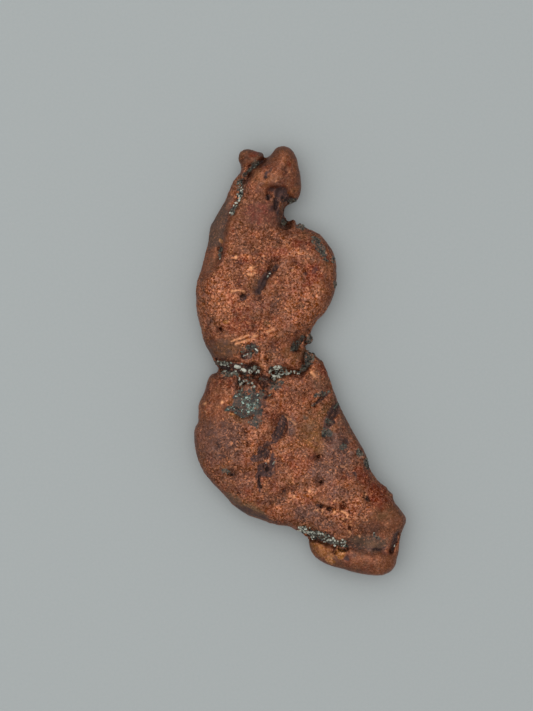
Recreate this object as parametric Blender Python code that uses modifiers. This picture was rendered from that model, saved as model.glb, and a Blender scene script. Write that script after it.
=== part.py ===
"""A native copper nugget lying flat: one solid of float copper, waisted in the middle.

The nugget lies along +Y, head towards +Y and tail towards -Y, with its worn flats at z = 0.
It is worked in millimetres and scaled to metres at the end.
"""
import bpy
import numpy as np
from mathutils import Vector, noise

# Driving dimensions, in millimetres.
LENGTH = 65.0              # head to tail
MID_PLANE = 3.25           # height of the widest line of the rim above the ground
TOP_CROWN = 2.6            # the upper face above that line, before its swells
UNDER_CROWN = 2.65         # the under face below that line, before its bosses
TOP_RIM = 3.3              # how far in from the edge the upper face rounds over
UNDER_RIM = 3.8            # the same for the under face, which is more worn
SLAB_HALF = 0.6            # half the thickness of the flat slab that is swelled into shape
FIRST_VOXEL = 0.34         # mesh size while the slab is swelled
WORK_VOXEL = 0.5           # mesh size while the relief is worked
TRIANGLES = 9400           # what the finished solid keeps
WORN_FLAT = 0.06           # what lies this close to the ground is worn flat
SPAN_POINTS = 6            # points along each span of a smooth curve
MM = 0.001

COPPER_COLOUR = (0.27, 0.095, 0.048, 1.0)

# The outline seen from above, clockwise, as one smooth closed curve through these points (x, y).
EAR = [(-9.3, 29.9), (-9.45, 30.8), (-9.0, 31.75), (-7.9, 32.2), (-6.8, 31.95), (-5.8, 31.5),
       (-5.5, 31.05), (-5.3, 30.65)]
HEAD = [(-4.8, 30.8), (-4.2, 31.25), (-3.8, 32.0), (-3.1, 32.45), (-2.1, 32.5), (-1.2, 32.05),
        (-0.5, 31.1), (0.0, 29.2), (0.3, 27.2), (0.4, 26.0), (0.1, 24.9), (-0.6, 24.1), (-1.6, 23.6)]
NECK = [(-2.2, 22.9), (-2.1, 21.9), (-1.95, 20.9), (-1.5, 21.05), (-0.95, 21.3), (-0.4, 20.7)]
SHOULDER = [(0.2, 20.55), (1.6, 19.85), (2.6, 19.4), (3.6, 18.5), (4.7, 17.1), (5.4, 15.6),
            (5.7, 13.4), (5.5, 11.2), (4.9, 9.3), (3.9, 7.3), (2.9, 6.35), (2.1, 5.2), (1.65, 4.3)]
RIGHT_WAIST = [(1.95, 3.5), (1.95, 2.85), (1.5, 2.45), (0.8, 2.2), (1.3, 1.65), (2.1, 1.25),
               (2.8, 0.5), (3.7, -0.3), (4.0, -1.1)]
RIGHT_FLANK = [(4.7, -2.7), (5.4, -4.7), (5.9, -6.2), (6.7, -7.9), (7.8, -10.1), (8.4, -11.1),
               (8.8, -12.0), (9.9, -13.7), (10.3, -15.0), (10.4, -15.8), (11.4, -17.4),
               (12.1, -18.4), (12.9, -18.8), (13.9, -20.1), (14.3, -21.2), (15.0, -22.1)]
TAIL = [(15.9, -23.2), (16.1, -24.2), (15.7, -25.3), (15.25, -26.2), (15.2, -27.3), (14.8, -29.6),
        (14.65, -30.7), (14.1, -31.6), (12.7, -32.45), (11.3, -32.5), (9.0, -32.1), (6.0, -31.35),
        (4.1, -30.8), (2.4, -29.7), (1.5, -28.3), (1.2, -27.1), (1.35, -26.6), (0.9, -26.4)]
BELLY = [(0.3, -26.1), (-0.5, -25.65), (-1.8, -25.1), (-4.2, -24.75), (-5.2, -24.3), (-7.3, -23.6),
         (-9.2, -22.6), (-10.4, -21.6), (-12.0, -19.7), (-14.0, -17.5), (-15.2, -15.8),
         (-15.8, -13.6), (-16.15, -11.2), (-15.95, -9.9), (-15.45, -8.9), (-15.4, -7.0),
         (-15.1, -5.9), (-14.5, -4.7), (-14.1, -3.3), (-13.75, -2.2), (-13.1, -1.85), (-12.35, -1.75)]
LEFT_WAIST = [(-12.0, -1.45), (-12.05, -1.05), (-12.4, -0.7), (-12.9, -0.5), (-13.25, 0.2),
              (-13.6, 1.3), (-14.1, 2.1), (-14.7, 3.5)]
LEFT_FLANK = [(-15.0, 5.1), (-15.5, 6.5), (-15.8, 9.2), (-15.65, 11.7), (-15.1, 13.4),
              (-14.6, 15.5), (-14.0, 17.8), (-13.7, 20.2), (-13.0, 21.4), (-12.2, 22.8),
              (-11.0, 25.0), (-10.1, 27.3), (-9.3, 28.1), (-8.85, 28.8)]
OUTLINE = (EAR + HEAD + NECK + SHOULDER + RIGHT_WAIST + RIGHT_FLANK + TAIL + BELLY + LEFT_WAIST
           + LEFT_FLANK)

# Broad swells and sags of each face: x, y, radius across, radius along, height.
TOP_SWELLS = [
    (-6.5, 10.5, 7.5, 8.5, 1.35),    # body of the upper lobe
    (2.0, 12.5, 4.5, 6.0, 0.45),     # its right shoulder
    (-4.0, 28.5, 4.0, 4.0, 0.75),    # the head
    (-7.6, 30.8, 1.8, 1.8, -0.4),    # the ear, thinner than the head
    (-8.5, -10.0, 6.5, 7.5, 1.25),   # body of the lower lobe
    (1.0, -15.0, 7.0, 6.5, 1.0),     # its middle
    (6.5, -22.5, 4.2, 3.6, 1.15),    # the swell above the tail seam
    (9.5, -29.8, 5.5, 2.0, 0.35),    # the tail roll
    (3.5, -28.9, 2.2, 1.9, -0.45),   # the low corner of the tail
    (11.0, -26.6, 4.5, 1.5, -0.55),  # the sag between the swell and the tail roll
    (-4.0, -1.8, 9.0, 2.2, -0.75),   # the waist
    (2.2, -1.5, 2.5, 3.0, -0.35),    # the thin right side of the waist
    (11.8, -18.5, 2.4, 3.4, -0.45),  # the reddish hollow along the right flank
]
UNDER_SWELLS = [
    (-4.3, 26.6, 3.6, 4.2, 0.95),    # boss under the head
    (-9.6, 7.0, 4.0, 5.0, 0.85),     # boss under the upper lobe
    (1.2, 12.2, 3.6, 4.2, 0.6),      # its right shoulder
    (-10.2, -11.0, 4.6, 5.6, 0.95),  # boss under the lower lobe
    (2.5, -15.0, 4.2, 4.2, 0.25),    # middle of the lower lobe
    (9.8, -26.2, 4.6, 4.4, 0.95),    # boss under the tail
    (-4.0, -1.6, 8.0, 2.6, -0.7),    # the waist
]

# A ledge: left of this line the upper face drops onto a lower, smoother flank.
LEDGE = [(-8.0, 28.6), (-9.0, 26.8), (-9.2, 24.9), (-10.1, 23.0), (-10.7, 20.8), (-11.3, 18.2),
         (-11.8, 15.6), (-12.6, 13.8), (-13.8, 12.4)]
LEDGE_DROP = 0.85
LEDGE_WIDTH = 1.1
LEDGE_FADE = 3.0           # the length over which it fades at either end

# Grooves, each a path with its width and depth: seams, crevices and long hollows.
TOP_GROOVES = [
    ([(-4.9, 30.7), (-5.9, 29.8), (-6.8, 29.0), (-7.8, 28.1), (-8.6, 27.2)], 0.9, 1.15),  # ear crevice
    ([(-8.9, 27.0), (-9.0, 25.4), (-9.6, 24.0), (-10.3, 22.5)], 0.8, 0.75),              # ledge seam
    ([(-4.7, 25.1), (-4.0, 25.6), (-3.3, 25.2), (-3.4, 24.2), (-3.8, 22.7)], 1.0, 1.0),  # head hollow
    ([(-2.9, 25.6), (-2.3, 24.8), (-1.5, 24.1), (-0.8, 23.7)], 1.1, 0.9),                # under the head
    ([(-1.6, 23.2), (-2.5, 22.2), (-2.5, 21.3), (-2.3, 20.5)], 1.1, 1.6),                # neck recess
    ([(-3.8, 14.5), (-4.6, 13.1), (-5.4, 11.9), (-6.1, 10.9), (-6.3, 9.7)], 1.6, 0.55),  # long pit
    ([(-12.1, 17.0), (-12.2, 15.2)], 0.9, 0.6),                                          # flank vug
    ([(2.4, 18.2), (3.0, 16.9), (3.6, 15.9), (3.8, 15.1)], 1.2, 0.45),                   # shoulder vugs
    ([(-12.6, -1.1), (-11.0, -0.9), (-9.5, -1.1), (-8.2, -1.5), (-6.9, -1.4), (-6.2, -2.2),
      (-5.3, -3.1)], 1.5, 1.25),                                                         # waist seam, left
    ([(-4.4, -2.5), (-3.6, -1.9), (-2.4, -1.8), (-1.0, -1.7), (0.2, -1.6), (1.0, -0.8),
      (1.1, 0.3), (0.9, 1.3), (1.4, 2.2)], 1.1, 1.3),                                    # waist seam, right
    ([(1.3, 4.8), (1.4, 3.6), (1.2, 2.6)], 0.9, 0.8),                                    # side of the knob
    ([(0.3, 3.4), (-0.3, 2.5), (-0.7, 1.9)], 1.2, 1.1),                                  # green vug
    ([(-8.9, 0.7), (-8.1, 1.0), (-7.3, 1.1)], 0.8, 0.7),                                 # crescent
    ([(-7.4, 2.4), (-6.8, 2.0), (-6.0, 1.6)], 0.8, 0.7),                                 # crescent above
    ([(-9.1, -1.8), (-8.9, -3.0), (-8.8, -4.3), (-8.4, -5.2)], 0.8, 0.8),                # down to the crust
    ([(-5.8, -3.6), (-5.2, -4.4), (-4.3, -4.9)], 0.8, 0.7),                              # torn copper
    ([(-11.0, -7.3), (-9.8, -7.3), (-8.7, -8.0), (-7.6, -8.2)], 0.9, 0.55),              # crust edge
    ([(1.8, -6.8), (2.2, -6.1), (3.0, -5.6), (3.8, -4.9), (4.4, -4.4)], 1.0, 0.6),       # right slash
    ([(6.0, -6.0), (5.3, -7.2), (4.8, -8.3), (4.3, -9.5), (3.8, -10.6), (4.0, -11.6)], 1.6, 0.6),
    ([(6.9, -12.3), (6.3, -13.5)], 1.2, 0.5),
    ([(-2.4, -8.4), (-2.8, -9.6), (-3.1, -10.8), (-3.5, -11.7)], 1.7, 0.75),             # purple hollow
    ([(-4.4, -12.4), (-5.1, -13.6), (-5.3, -15.0), (-5.2, -16.6)], 3.0, 0.8),            # its main bowl
    ([(-6.0, -17.0), (-6.1, -19.0)], 0.8, 0.7),                                          # its stem
    ([(2.8, -21.6), (3.4, -22.0)], 0.6, 0.7),
    ([(9.6, -20.1), (10.1, -20.8)], 0.6, 0.6),
    ([(0.2, -25.9), (1.4, -26.3), (2.8, -26.5), (4.0, -26.8), (5.2, -27.5), (6.6, -27.7)], 1.2, 1.35),
    ([(6.6, -27.7), (9.0, -28.0), (11.4, -28.3), (12.8, -28.2)], 1.3, 0.45),             # fading seam
    ([(5.3, -27.8), (5.1, -28.7)], 0.6, 0.7),
    ([(14.7, -26.0), (14.3, -27.3), (13.9, -28.8)], 1.0, 1.0),                           # end cavity
    ([(10.7, -16.2), (11.6, -18.1), (12.6, -19.6)], 1.2, 0.4),
]
UNDER_GROOVES = [
    ([(-12.6, -1.2), (-9.5, -1.8), (-6.5, -0.9), (-3.6, -1.6), (-0.6, -0.8), (1.3, 1.8)], 1.3, 1.1),
    ([(-5.0, 31.0), (-6.8, 29.3), (-8.6, 27.6)], 1.0, 1.1),
    ([(0.4, -26.2), (3.2, -25.4), (5.8, -23.6), (7.0, -21.4)], 1.1, 0.9),
    ([(-6.0, 18.0), (-4.2, 15.0), (-4.8, 12.0)], 1.4, 0.8),
    ([(-3.5, -8.0), (-2.0, -11.0), (-3.6, -14.2)], 1.6, 0.9),
    ([(4.6, -6.4), (3.2, -9.0), (4.2, -12.0)], 1.2, 0.7),
    ([(14.6, -25.8), (12.6, -22.6), (11.6, -19.4)], 1.1, 0.6),
]

# Small round pits: x, y, radius, depth.
TOP_PITS = [
    (-5.1, 27.5, 0.6, 0.5), (-2.0, 28.4, 0.45, 0.45), (-1.6, 29.4, 0.45, 0.4), (-0.7, 25.5, 0.4, 0.35),
    (-8.5, 9.8, 0.7, 0.8), (-9.3, 11.2, 0.4, 0.4), (-11.9, 4.8, 0.6, 0.75), (-13.3, 5.8, 0.55, 0.5),
    (-4.9, 5.7, 0.7, 0.35), (-5.3, 3.9, 0.35, 0.5), (0.8, 13.0, 0.7, 0.4), (2.1, 13.6, 0.9, 0.3),
    (0.2, 8.3, 0.9, 0.25), (-13.0, 0.5, 0.6, 0.7), (-4.8, 0.0, 0.4, 0.5), (1.9, -3.0, 0.4, 0.45),
    (2.7, -14.4, 0.5, 0.6), (3.1, -18.1, 0.8, 0.7), (-10.6, -17.0, 0.8, 0.8), (-12.3, -12.6, 0.5, 0.5),
    (4.5, -22.1, 0.65, 0.85), (6.4, -21.8, 0.6, 0.8), (6.9, -29.4, 0.9, 0.45), (7.4, -25.0, 0.6, 0.5),
    (-7.8, -12.6, 0.6, 0.35), (-2.4, -19.6, 0.5, 0.35), (11.8, -25.4, 0.6, 0.35),
]
UNDER_PITS = [
    (-8.0, 13.0, 0.9, 0.7), (-11.5, 4.0, 0.7, 0.5), (2.6, 8.4, 0.8, 0.6), (-3.0, 22.5, 0.8, 0.6),
    (-6.0, -7.0, 0.9, 0.7), (-12.8, -8.6, 0.6, 0.4), (-2.0, -19.5, 0.9, 0.7), (7.0, -14.5, 0.8, 0.5),
    (5.6, -29.0, 0.8, 0.6), (12.6, -29.4, 0.6, 0.4), (-9.4, -19.0, 0.7, 0.5),
]

# Hummocks all over, as noise: size across and height of each layer.
HUMMOCKS = [(7.0, 0.42), (3.4, 0.34), (1.9, 0.24), (1.2, 0.12)]
RIM_SWAY = 0.15            # the share of that height by which they move the upright rim sideways
RAGGED_SIZE = 1.6          # grooves and pits are ragged at this size
RAGGED_REACH = 0.75        # and by this much


def smooth_curve(points, closed):
    """A Catmull-Rom curve through the points, as an array of (x, y)."""
    given = np.array(points, float)
    if closed:
        ends = np.vstack([given[-1], given, given[:2]])
    else:
        ends = np.vstack([2 * given[0] - given[1], given, 2 * given[-1] - given[-2]])
    step = np.linspace(0, 1, SPAN_POINTS, endpoint=False)[:, None]
    spans = []
    for a, b, c, d in zip(ends, ends[1:], ends[2:], ends[3:]):
        spans.append(0.5 * (2 * b + (c - a) * step + (2 * a - 5 * b + 4 * c - d) * step ** 2
                            + (3 * b - a - 3 * c + d) * step ** 3))
    return np.vstack(spans if closed else spans + [given[-1:]])


def distance_to_path(places, path):
    """Distance from each place (x, y) to the nearest point of a path of straight pieces."""
    nearest = np.full(len(places), np.inf)
    for start, end in zip(path, path[1:]):
        along = end - start
        share = np.clip((places - start) @ along / (along @ along), 0, 1)
        nearest = np.minimum(nearest, np.linalg.norm(places - start - share[:, None] * along, axis=1))
    return nearest


def fade(value, low, high):
    """0 below low, 1 above high, and smooth between them."""
    share = np.clip((value - low) / (high - low), 0, 1)
    return share * share * (3 - 2 * share)


def swelled(places, swells):
    """Sum of the broad swells at each place."""
    total = np.zeros(len(places))
    for x, y, across, along, height in swells:
        reach = ((places[:, 0] - x) / across) ** 2 + ((places[:, 1] - y) / along) ** 2
        total += height * np.exp(-reach)
    return total


def ledge_drop(places):
    """How far the upper face drops on the left of the ledge line."""
    line = smooth_curve(LEDGE, closed=False)
    ledge_x = np.interp(places[:, 1], line[::-1, 1], line[::-1, 0])
    from_foot = fade(places[:, 1], LEDGE[-1][1], LEDGE[-1][1] + LEDGE_FADE)
    from_top = fade(LEDGE[0][1] - places[:, 1], 0, LEDGE_FADE)
    left_of_it = fade(ledge_x - places[:, 0], -LEDGE_WIDTH / 2, LEDGE_WIDTH / 2)
    return LEDGE_DROP * from_foot * from_top * left_of_it


def ragged(places):
    """The places moved about by noise, so that what is cut at them has natural, uneven edges."""
    shifts = [noise.noise_vector(Vector((x, y, 0)) / RAGGED_SIZE)[:2] for x, y in places]
    return places + RAGGED_REACH * np.array(shifts)


def hollowed(places, grooves, pits):
    """Depth of the grooves and pits at each place; where they cross, the deeper one counts."""
    places = ragged(places)
    depth = np.zeros(len(places))
    for path, width, deep in grooves:
        reach = distance_to_path(places, smooth_curve(path, closed=False)) / (width / 2)
        depth = np.maximum(depth, deep * np.exp(-reach ** 2))
    for x, y, radius, deep in pits:
        reach = np.hypot(places[:, 0] - x, places[:, 1] - y) / radius
        depth = np.maximum(depth, deep * np.exp(-reach ** 2))
    return depth


def hummocks(point):
    """Height of the nugget's natural unevenness at a point."""
    return sum(height * noise.noise(Vector(point) / size) for size, height in HUMMOCKS)


def points_of(mesh):
    flat = np.empty(len(mesh.vertices) * 3, np.float32)
    mesh.vertices.foreach_get("co", flat)
    return flat.reshape(-1, 3).astype(float)


def normals_of(mesh):
    flat = np.empty(len(mesh.vertices) * 3, np.float32)
    mesh.vertices.foreach_get("normal", flat)
    return flat.reshape(-1, 3).astype(float)


def set_points(mesh, points):
    mesh.vertices.foreach_set("co", points.astype(np.float32).ravel())
    mesh.update()


def with_modifier(nugget, kind, **settings):
    """Runs one modifier on the nugget and keeps its result as the nugget's mesh."""
    modifier = nugget.modifiers.new(kind.title(), kind)
    for name, value in settings.items():
        setattr(modifier, name, value)
    graph = bpy.context.evaluated_depsgraph_get()
    made = bpy.data.meshes.new_from_object(nugget.evaluated_get(graph))
    nugget.modifiers.clear()
    old = nugget.data
    nugget.data = made
    bpy.data.meshes.remove(old)


def flat_slab(outline):
    """The outline as a thin flat slab, from a filled 2D curve."""
    curve = bpy.data.curves.new("outline", "CURVE")
    curve.dimensions = "2D"
    curve.fill_mode = "BOTH"
    curve.extrude = SLAB_HALF
    spline = curve.splines.new("POLY")
    spline.points.add(len(outline) - 1)
    for point, (x, y) in zip(spline.points, outline):
        point.co = (x, y, 0, 1)
    spline.use_cyclic_u = True
    guide = bpy.data.objects.new("outline", curve)
    bpy.context.scene.collection.objects.link(guide)
    graph = bpy.context.evaluated_depsgraph_get()
    mesh = bpy.data.meshes.new_from_object(guide.evaluated_get(graph))
    bpy.data.objects.remove(guide)
    bpy.data.curves.remove(curve)
    return mesh


def swell_slab(mesh, outline):
    """Lifts and lowers the two faces of the slab, so that it becomes a rounded, lobed body."""
    points = points_of(mesh)
    places = points[:, :2]
    inward = distance_to_path(places, np.vstack([outline, outline[:1]]))
    share = np.clip(points[:, 2] / SLAB_HALF, -1, 1)
    top_rim = np.sqrt(1 - (1 - np.minimum(inward / TOP_RIM, 1)) ** 2)
    under_rim = np.sqrt(1 - (1 - np.minimum(inward / UNDER_RIM, 1)) ** 2)
    top = (TOP_CROWN + swelled(places, TOP_SWELLS)) * top_rim
    under = (UNDER_CROWN + swelled(places, UNDER_SWELLS)) * under_rim
    points[:, 2] = MID_PLANE + np.where(share > 0, top, under) * share
    set_points(mesh, points)


def carve_relief(mesh):
    """Hummocks all over, and the ledge, grooves and pits of each face."""
    points = points_of(mesh)
    normals = normals_of(mesh)
    places = points[:, :2]
    on_top = fade(normals[:, 2], -0.1, 0.45)
    on_under = fade(-normals[:, 2], -0.1, 0.45)
    rise = np.array([hummocks(point) for point in points])
    relief = points + normals * rise[:, None] * (RIM_SWAY, RIM_SWAY, 1)
    relief[:, 2] -= on_top * (ledge_drop(places) + hollowed(places, TOP_GROOVES, TOP_PITS))
    relief[:, 2] += on_under * hollowed(places, UNDER_GROOVES, UNDER_PITS)
    set_points(mesh, relief)


def wear_flat(mesh):
    """Presses all that reaches the ground to z = 0, so that the nugget rests on worn flats."""
    points = points_of(mesh)
    points[points[:, 2] < WORN_FLAT, 2] = 0
    set_points(mesh, points)


def place_at_size(mesh):
    """Puts the box's centre over the origin, and brings the nugget to its length, in metres."""
    points = points_of(mesh)
    low, high = points.min(0), points.max(0)
    points[:, :2] -= (low[:2] + high[:2]) / 2
    set_points(mesh, points * MM * LENGTH / (high[1] - low[1]))


def native_copper():
    """Dull, oxidised native copper."""
    material = bpy.data.materials.new("native_copper")
    material.use_nodes = True
    shader = material.node_tree.nodes["Principled BSDF"]
    shader.inputs["Base Color"].default_value = COPPER_COLOUR
    shader.inputs["Metallic"].default_value = 0.8
    shader.inputs["Roughness"].default_value = 0.5
    return material


def copper_nugget(collection):
    outline = smooth_curve(OUTLINE, closed=True)
    nugget = bpy.data.objects.new("copper_nugget", flat_slab(outline))
    collection.objects.link(nugget)
    with_modifier(nugget, "REMESH", mode="VOXEL", voxel_size=FIRST_VOXEL)
    swell_slab(nugget.data, outline)
    with_modifier(nugget, "REMESH", mode="VOXEL", voxel_size=WORK_VOXEL)
    with_modifier(nugget, "SMOOTH", factor=0.5, iterations=3)
    carve_relief(nugget.data)
    with_modifier(nugget, "TRIANGULATE")
    wear_flat(nugget.data)
    with_modifier(nugget, "DECIMATE", ratio=TRIANGLES / len(nugget.data.polygons))
    wear_flat(nugget.data)
    place_at_size(nugget.data)
    nugget.data.shade_smooth()
    nugget.data.materials.clear()
    nugget.data.materials.append(native_copper())
    return nugget


def main():
    for thing in list(bpy.data.objects):
        bpy.data.objects.remove(thing)
    collection = bpy.data.collections.new("copper nugget")
    bpy.context.scene.collection.children.link(collection)
    copper_nugget(collection)


main()
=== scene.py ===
# %% [markdown]
# # A native copper nugget
# Native copper grows in veins and hollows of old lava, and a river or glacier then rolls and
# flattens it. What is left is a dense lump with worn rims, a crust of brown and purple oxide in
# its hollows, bright copper where it was rubbed, and grains of pale and green mineral that it
# grew around. The imported solid has the nugget's form. This script gives it its fine surface,
# its finish and the mineral grains in its seams, and then lays it on a pale board.

import math

import bmesh
import bpy
import numpy as np
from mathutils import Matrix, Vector


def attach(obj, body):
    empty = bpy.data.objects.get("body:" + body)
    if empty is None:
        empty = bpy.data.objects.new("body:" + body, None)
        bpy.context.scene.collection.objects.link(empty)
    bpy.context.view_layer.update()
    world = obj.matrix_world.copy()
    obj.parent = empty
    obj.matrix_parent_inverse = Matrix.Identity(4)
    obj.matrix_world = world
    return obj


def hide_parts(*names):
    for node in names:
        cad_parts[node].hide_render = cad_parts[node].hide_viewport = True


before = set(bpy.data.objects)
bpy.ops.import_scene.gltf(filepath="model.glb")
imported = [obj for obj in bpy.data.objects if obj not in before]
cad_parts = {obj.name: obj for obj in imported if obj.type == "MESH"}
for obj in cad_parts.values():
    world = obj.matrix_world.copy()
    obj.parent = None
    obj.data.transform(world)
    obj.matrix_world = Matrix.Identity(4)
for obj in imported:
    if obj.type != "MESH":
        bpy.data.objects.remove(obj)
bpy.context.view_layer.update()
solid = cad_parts["copper_nugget"]

# %% [markdown]
# ## Measures and colours
# The nugget is worked in millimetres, because its grains are a few tenths of one, and is scaled
# to metres when it is finished. Colours are written as sRGB hex values, the way a paint chart
# gives them, and one function turns them to the linear values that a renderer needs.

# %% Units and colours
MM = 0.001


def linear(hex_colour):
    """An sRGB hex colour as linear RGBA."""
    parts = [int(hex_colour[i : i + 2], 16) / 255 for i in (1, 3, 5)]
    return tuple(c / 12.92 if c <= 0.04045 else ((c + 0.055) / 1.055) ** 2.4 for c in parts) + (1.0,)


print("worn copper #8E5337 in linear light:", [round(c, 3) for c in linear("#8E5337")])

# %% [markdown]
# ## Working on points
# A sculptor shapes a surface by pushing it about, and here its points are pushed. One by one that
# is slow, so all of them go into one array, are moved by arithmetic and go back. Blender's
# modifiers help too. Each is run and applied at once, as the finished pieces are plain meshes.

# %% Points and modifiers
def points_of(mesh, what="co"):
    """A mesh's points as an array; with "normal", its normals."""
    flat = np.empty(len(mesh.vertices) * 3, np.float32)
    mesh.vertices.foreach_get(what, flat)
    return flat.reshape(-1, 3).astype(float)


def set_points(mesh, points):
    """Moves all points of a mesh."""
    mesh.vertices.foreach_set("co", points.astype(np.float32).ravel())
    mesh.update()


def made_mesh(thing):
    """The mesh that an object's modifiers make."""
    graph = bpy.context.evaluated_depsgraph_get()
    return bpy.data.meshes.new_from_object(thing.evaluated_get(graph))


def with_modifier(thing, kind, **settings):
    """Runs one modifier on an object and keeps its result as the object's mesh."""
    modifier = thing.modifiers.new(kind.title(), kind)
    for name, value in settings.items():
        setattr(modifier, name, value)
    made = made_mesh(thing)
    thing.modifiers.clear()
    old = thing.data
    thing.data = made
    bpy.data.meshes.remove(old)


print("the solid comes with", len(points_of(solid.data)), "loose points")

# %% [markdown]
# ## An even, fine mesh
# The solid has some nine thousand triangles of all shapes. Relief a few tenths of a millimetre
# across needs an even net of small faces, so a copy of the solid is remeshed in voxels and
# smoothed until the old triangles' edges are gone. A copy of a CAD node comes as loose
# triangles, and is merged first.

# %% Remesh a copy of the solid
VOXEL = 0.17  # mm
SMOOTHING = 12  # rounds
SAME_PLACE = 1e-6  # points nearer than this, in metres, are merged


def even_copy(source, name):
    """A merged copy of a CAD node as an even net of small faces, in millimetres."""
    mesh = source.data.copy()
    shape = bmesh.new()
    shape.from_mesh(mesh)
    bmesh.ops.remove_doubles(shape, verts=shape.verts, dist=SAME_PLACE)
    shape.to_mesh(mesh)
    shape.free()
    thing = bpy.data.objects.new(name, mesh)
    bpy.context.scene.collection.objects.link(thing)
    set_points(thing.data, points_of(thing.data) / MM)
    with_modifier(thing, "REMESH", mode="VOXEL", voxel_size=VOXEL)
    with_modifier(thing, "SMOOTH", factor=0.5, iterations=SMOOTHING)
    with_modifier(thing, "TRIANGULATE")
    return thing


nugget = even_copy(solid, "worn_copper")
print("even mesh:", len(nugget.data.vertices), "points,", len(nugget.data.polygons), "faces")

# %% [markdown]
# ## Spend the faces where they are seen
# The under face lies on the ground and shows least, so its net is thinned. The rest keeps its
# small faces, but a voxel net lies in rows, and rows would show through the relief like cloth.
# So each point is moved a little along the surface, which breaks the rows up and keeps the form.

# %% Thin the under face and break up the rows
MOST_FACES = 196000
DOWNWARD = 0.25  # how far a normal leans down where the net may be thinned
SHUFFLE = 0.32 * VOXEL


def thin_under_face(thing):
    """Thins the net where the surface faces down, until the whole has few enough faces."""
    facing_down = -points_of(thing.data, "normal")[:, 2]
    group = thing.vertex_groups.new(name="under face")
    for number in np.nonzero(facing_down > DOWNWARD)[0]:
        group.add([int(number)], 1.0, "REPLACE")
    share = MOST_FACES / len(thing.data.polygons)
    with_modifier(thing, "DECIMATE", ratio=share, vertex_group=group.name)
    thing.vertex_groups.clear()


def break_rows(mesh, seed=2):
    """Shuffles the points along the surface."""
    points, normals = points_of(mesh), points_of(mesh, "normal")
    shift = np.random.default_rng(seed).uniform(-SHUFFLE, SHUFFLE, points.shape)
    set_points(mesh, points + shift - normals * (shift * normals).sum(1)[:, None])


thin_under_face(nugget)
break_rows(nugget.data)
print("thinned mesh:", len(nugget.data.vertices), "points,", len(nugget.data.polygons), "faces")

# %% [markdown]
# ## Noise for natural edges
# Nothing on a nugget has a clean edge. Smooth noise is used in three ways: it lifts and lowers
# the surface, it moves places about before a pit or a stain is looked up, so that round marks
# get ragged outlines, and it breaks stains up. It is made here from a lattice of random values,
# which numpy works out for all points at once.

# %% Lattice noise
# Large odd numbers that scatter neighbouring cells: for x, y, z and the seed, then for two rounds.
SCATTER = (374761393, 668265263, 2147483647, 1274126177)
ROUNDS = ((13, 1103515245), (16, 2654435761))
BITS_32, BITS_16 = 0xFFFFFFFF, 0xFFFF
OFFSET = 1000  # keeps the cells' numbers above 0


def lattice(cells, seed):
    """A fixed random value, -1 to 1, for each whole-number cell."""
    cells = cells.astype(np.int64)
    mixed = (sum(cells[:, axis] * SCATTER[axis] for axis in range(3)) + seed * SCATTER[3]) & BITS_32
    for shift, factor in ROUNDS:
        mixed = ((mixed ^ (mixed >> shift)) * factor) & BITS_32
    return ((mixed ^ (mixed >> 15)) & BITS_16) / (BITS_16 / 2) - 1


def noise(points, size, seed=0):
    """Smooth noise, -1 to 1, with lumps of about the given size in mm."""
    scaled = points / size + OFFSET
    low = np.floor(scaled)
    share = scaled - low
    share = share * share * (3 - 2 * share)
    total = np.zeros(len(points))
    for corner in np.ndindex(2, 2, 2):
        weight = np.prod(np.where(corner, share, 1 - share), axis=1)
        total += weight * lattice(low + corner, seed)
    return total


def layered(points, size, seed=0, layers=3):
    """Noise with finer and weaker noise on top."""
    total = sum(noise(points, size / 2**n, seed + n) / 2**n for n in range(layers))
    return total / sum(1 / 2**n for n in range(layers))


def ragged(points, size, reach, seed=50):
    """The points moved about by noise."""
    shifts = [layered(points, size, seed + 7 * axis, 2) for axis in range(3)]
    return points + reach * np.stack(shifts, axis=1)


sample = layered(points_of(nugget.data)[:5000], 2.0)
print("noise from", sample.min().round(2), "to", sample.max().round(2))

# %% [markdown]
# ## Where things are
# Each mark on the nugget is a blob (x, y, half length, half width, turn in degrees, strength), a
# round spot (x, y, radius, strength) or a streak (a path of points, half width, strength). All are
# in millimetres from the nugget's middle, with x to the right and y towards the head. A mark is
# full at its middle and fades at its rim. Lists of such marks are how a painter would note down
# where each touch goes. They are looked up at places that noise has moved about a little.

# %% Blobs and streaks
def fade(value, low, high):
    """0 below low, 1 above high, and smooth between them."""
    share = np.clip((value - low) / (high - low), 0, 1)
    return share * share * (3 - 2 * share)


def blobs_at(places, blobs, edge=0.45):
    """The strongest blob at each place; edge is the share of the radius over which it fades."""
    found = np.zeros(len(places))
    for x, y, length, width, turn, strength in blobs:
        along = math.radians(turn)
        dx, dy = places[:, 0] - x, places[:, 1] - y
        across = np.hypot((dx * math.cos(along) + dy * math.sin(along)) / length,
                          (dy * math.cos(along) - dx * math.sin(along)) / width)
        found = np.maximum(found, strength * fade(-across, -1 - edge / 2, edge / 2 - 1))
    return found


def path_reach(places, path):
    """Distance from each place to a path of straight pieces."""
    path = np.array(path, float)
    nearest = np.full(len(places), np.inf)
    for start, end in zip(path, path[1:]):
        along = end - start
        share = np.clip((places - start) @ along / (along @ along), 0, 1)
        nearest = np.minimum(nearest, np.linalg.norm(places - start - share[:, None] * along, axis=1))
    return nearest


def streaks_at(places, streaks, edge=0.7):
    """The strongest streak at each place."""
    found = np.zeros(len(places))
    for path, half_width, strength in streaks:
        across = path_reach(places, path) / half_width
        found = np.maximum(found, strength * fade(-across, -1 - edge / 2, edge / 2 - 1))
    return found


def spots_at(places, spots, rim, core):
    """The strongest round spot at each place: none beyond rim and full within core, in radii."""
    found = np.zeros(len(places))
    for x, y, radius, strength in spots:
        across = np.hypot(places[:, 0] - x, places[:, 1] - y) / radius
        found = np.maximum(found, strength * fade(-across, -rim, -core))
    return found


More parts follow.
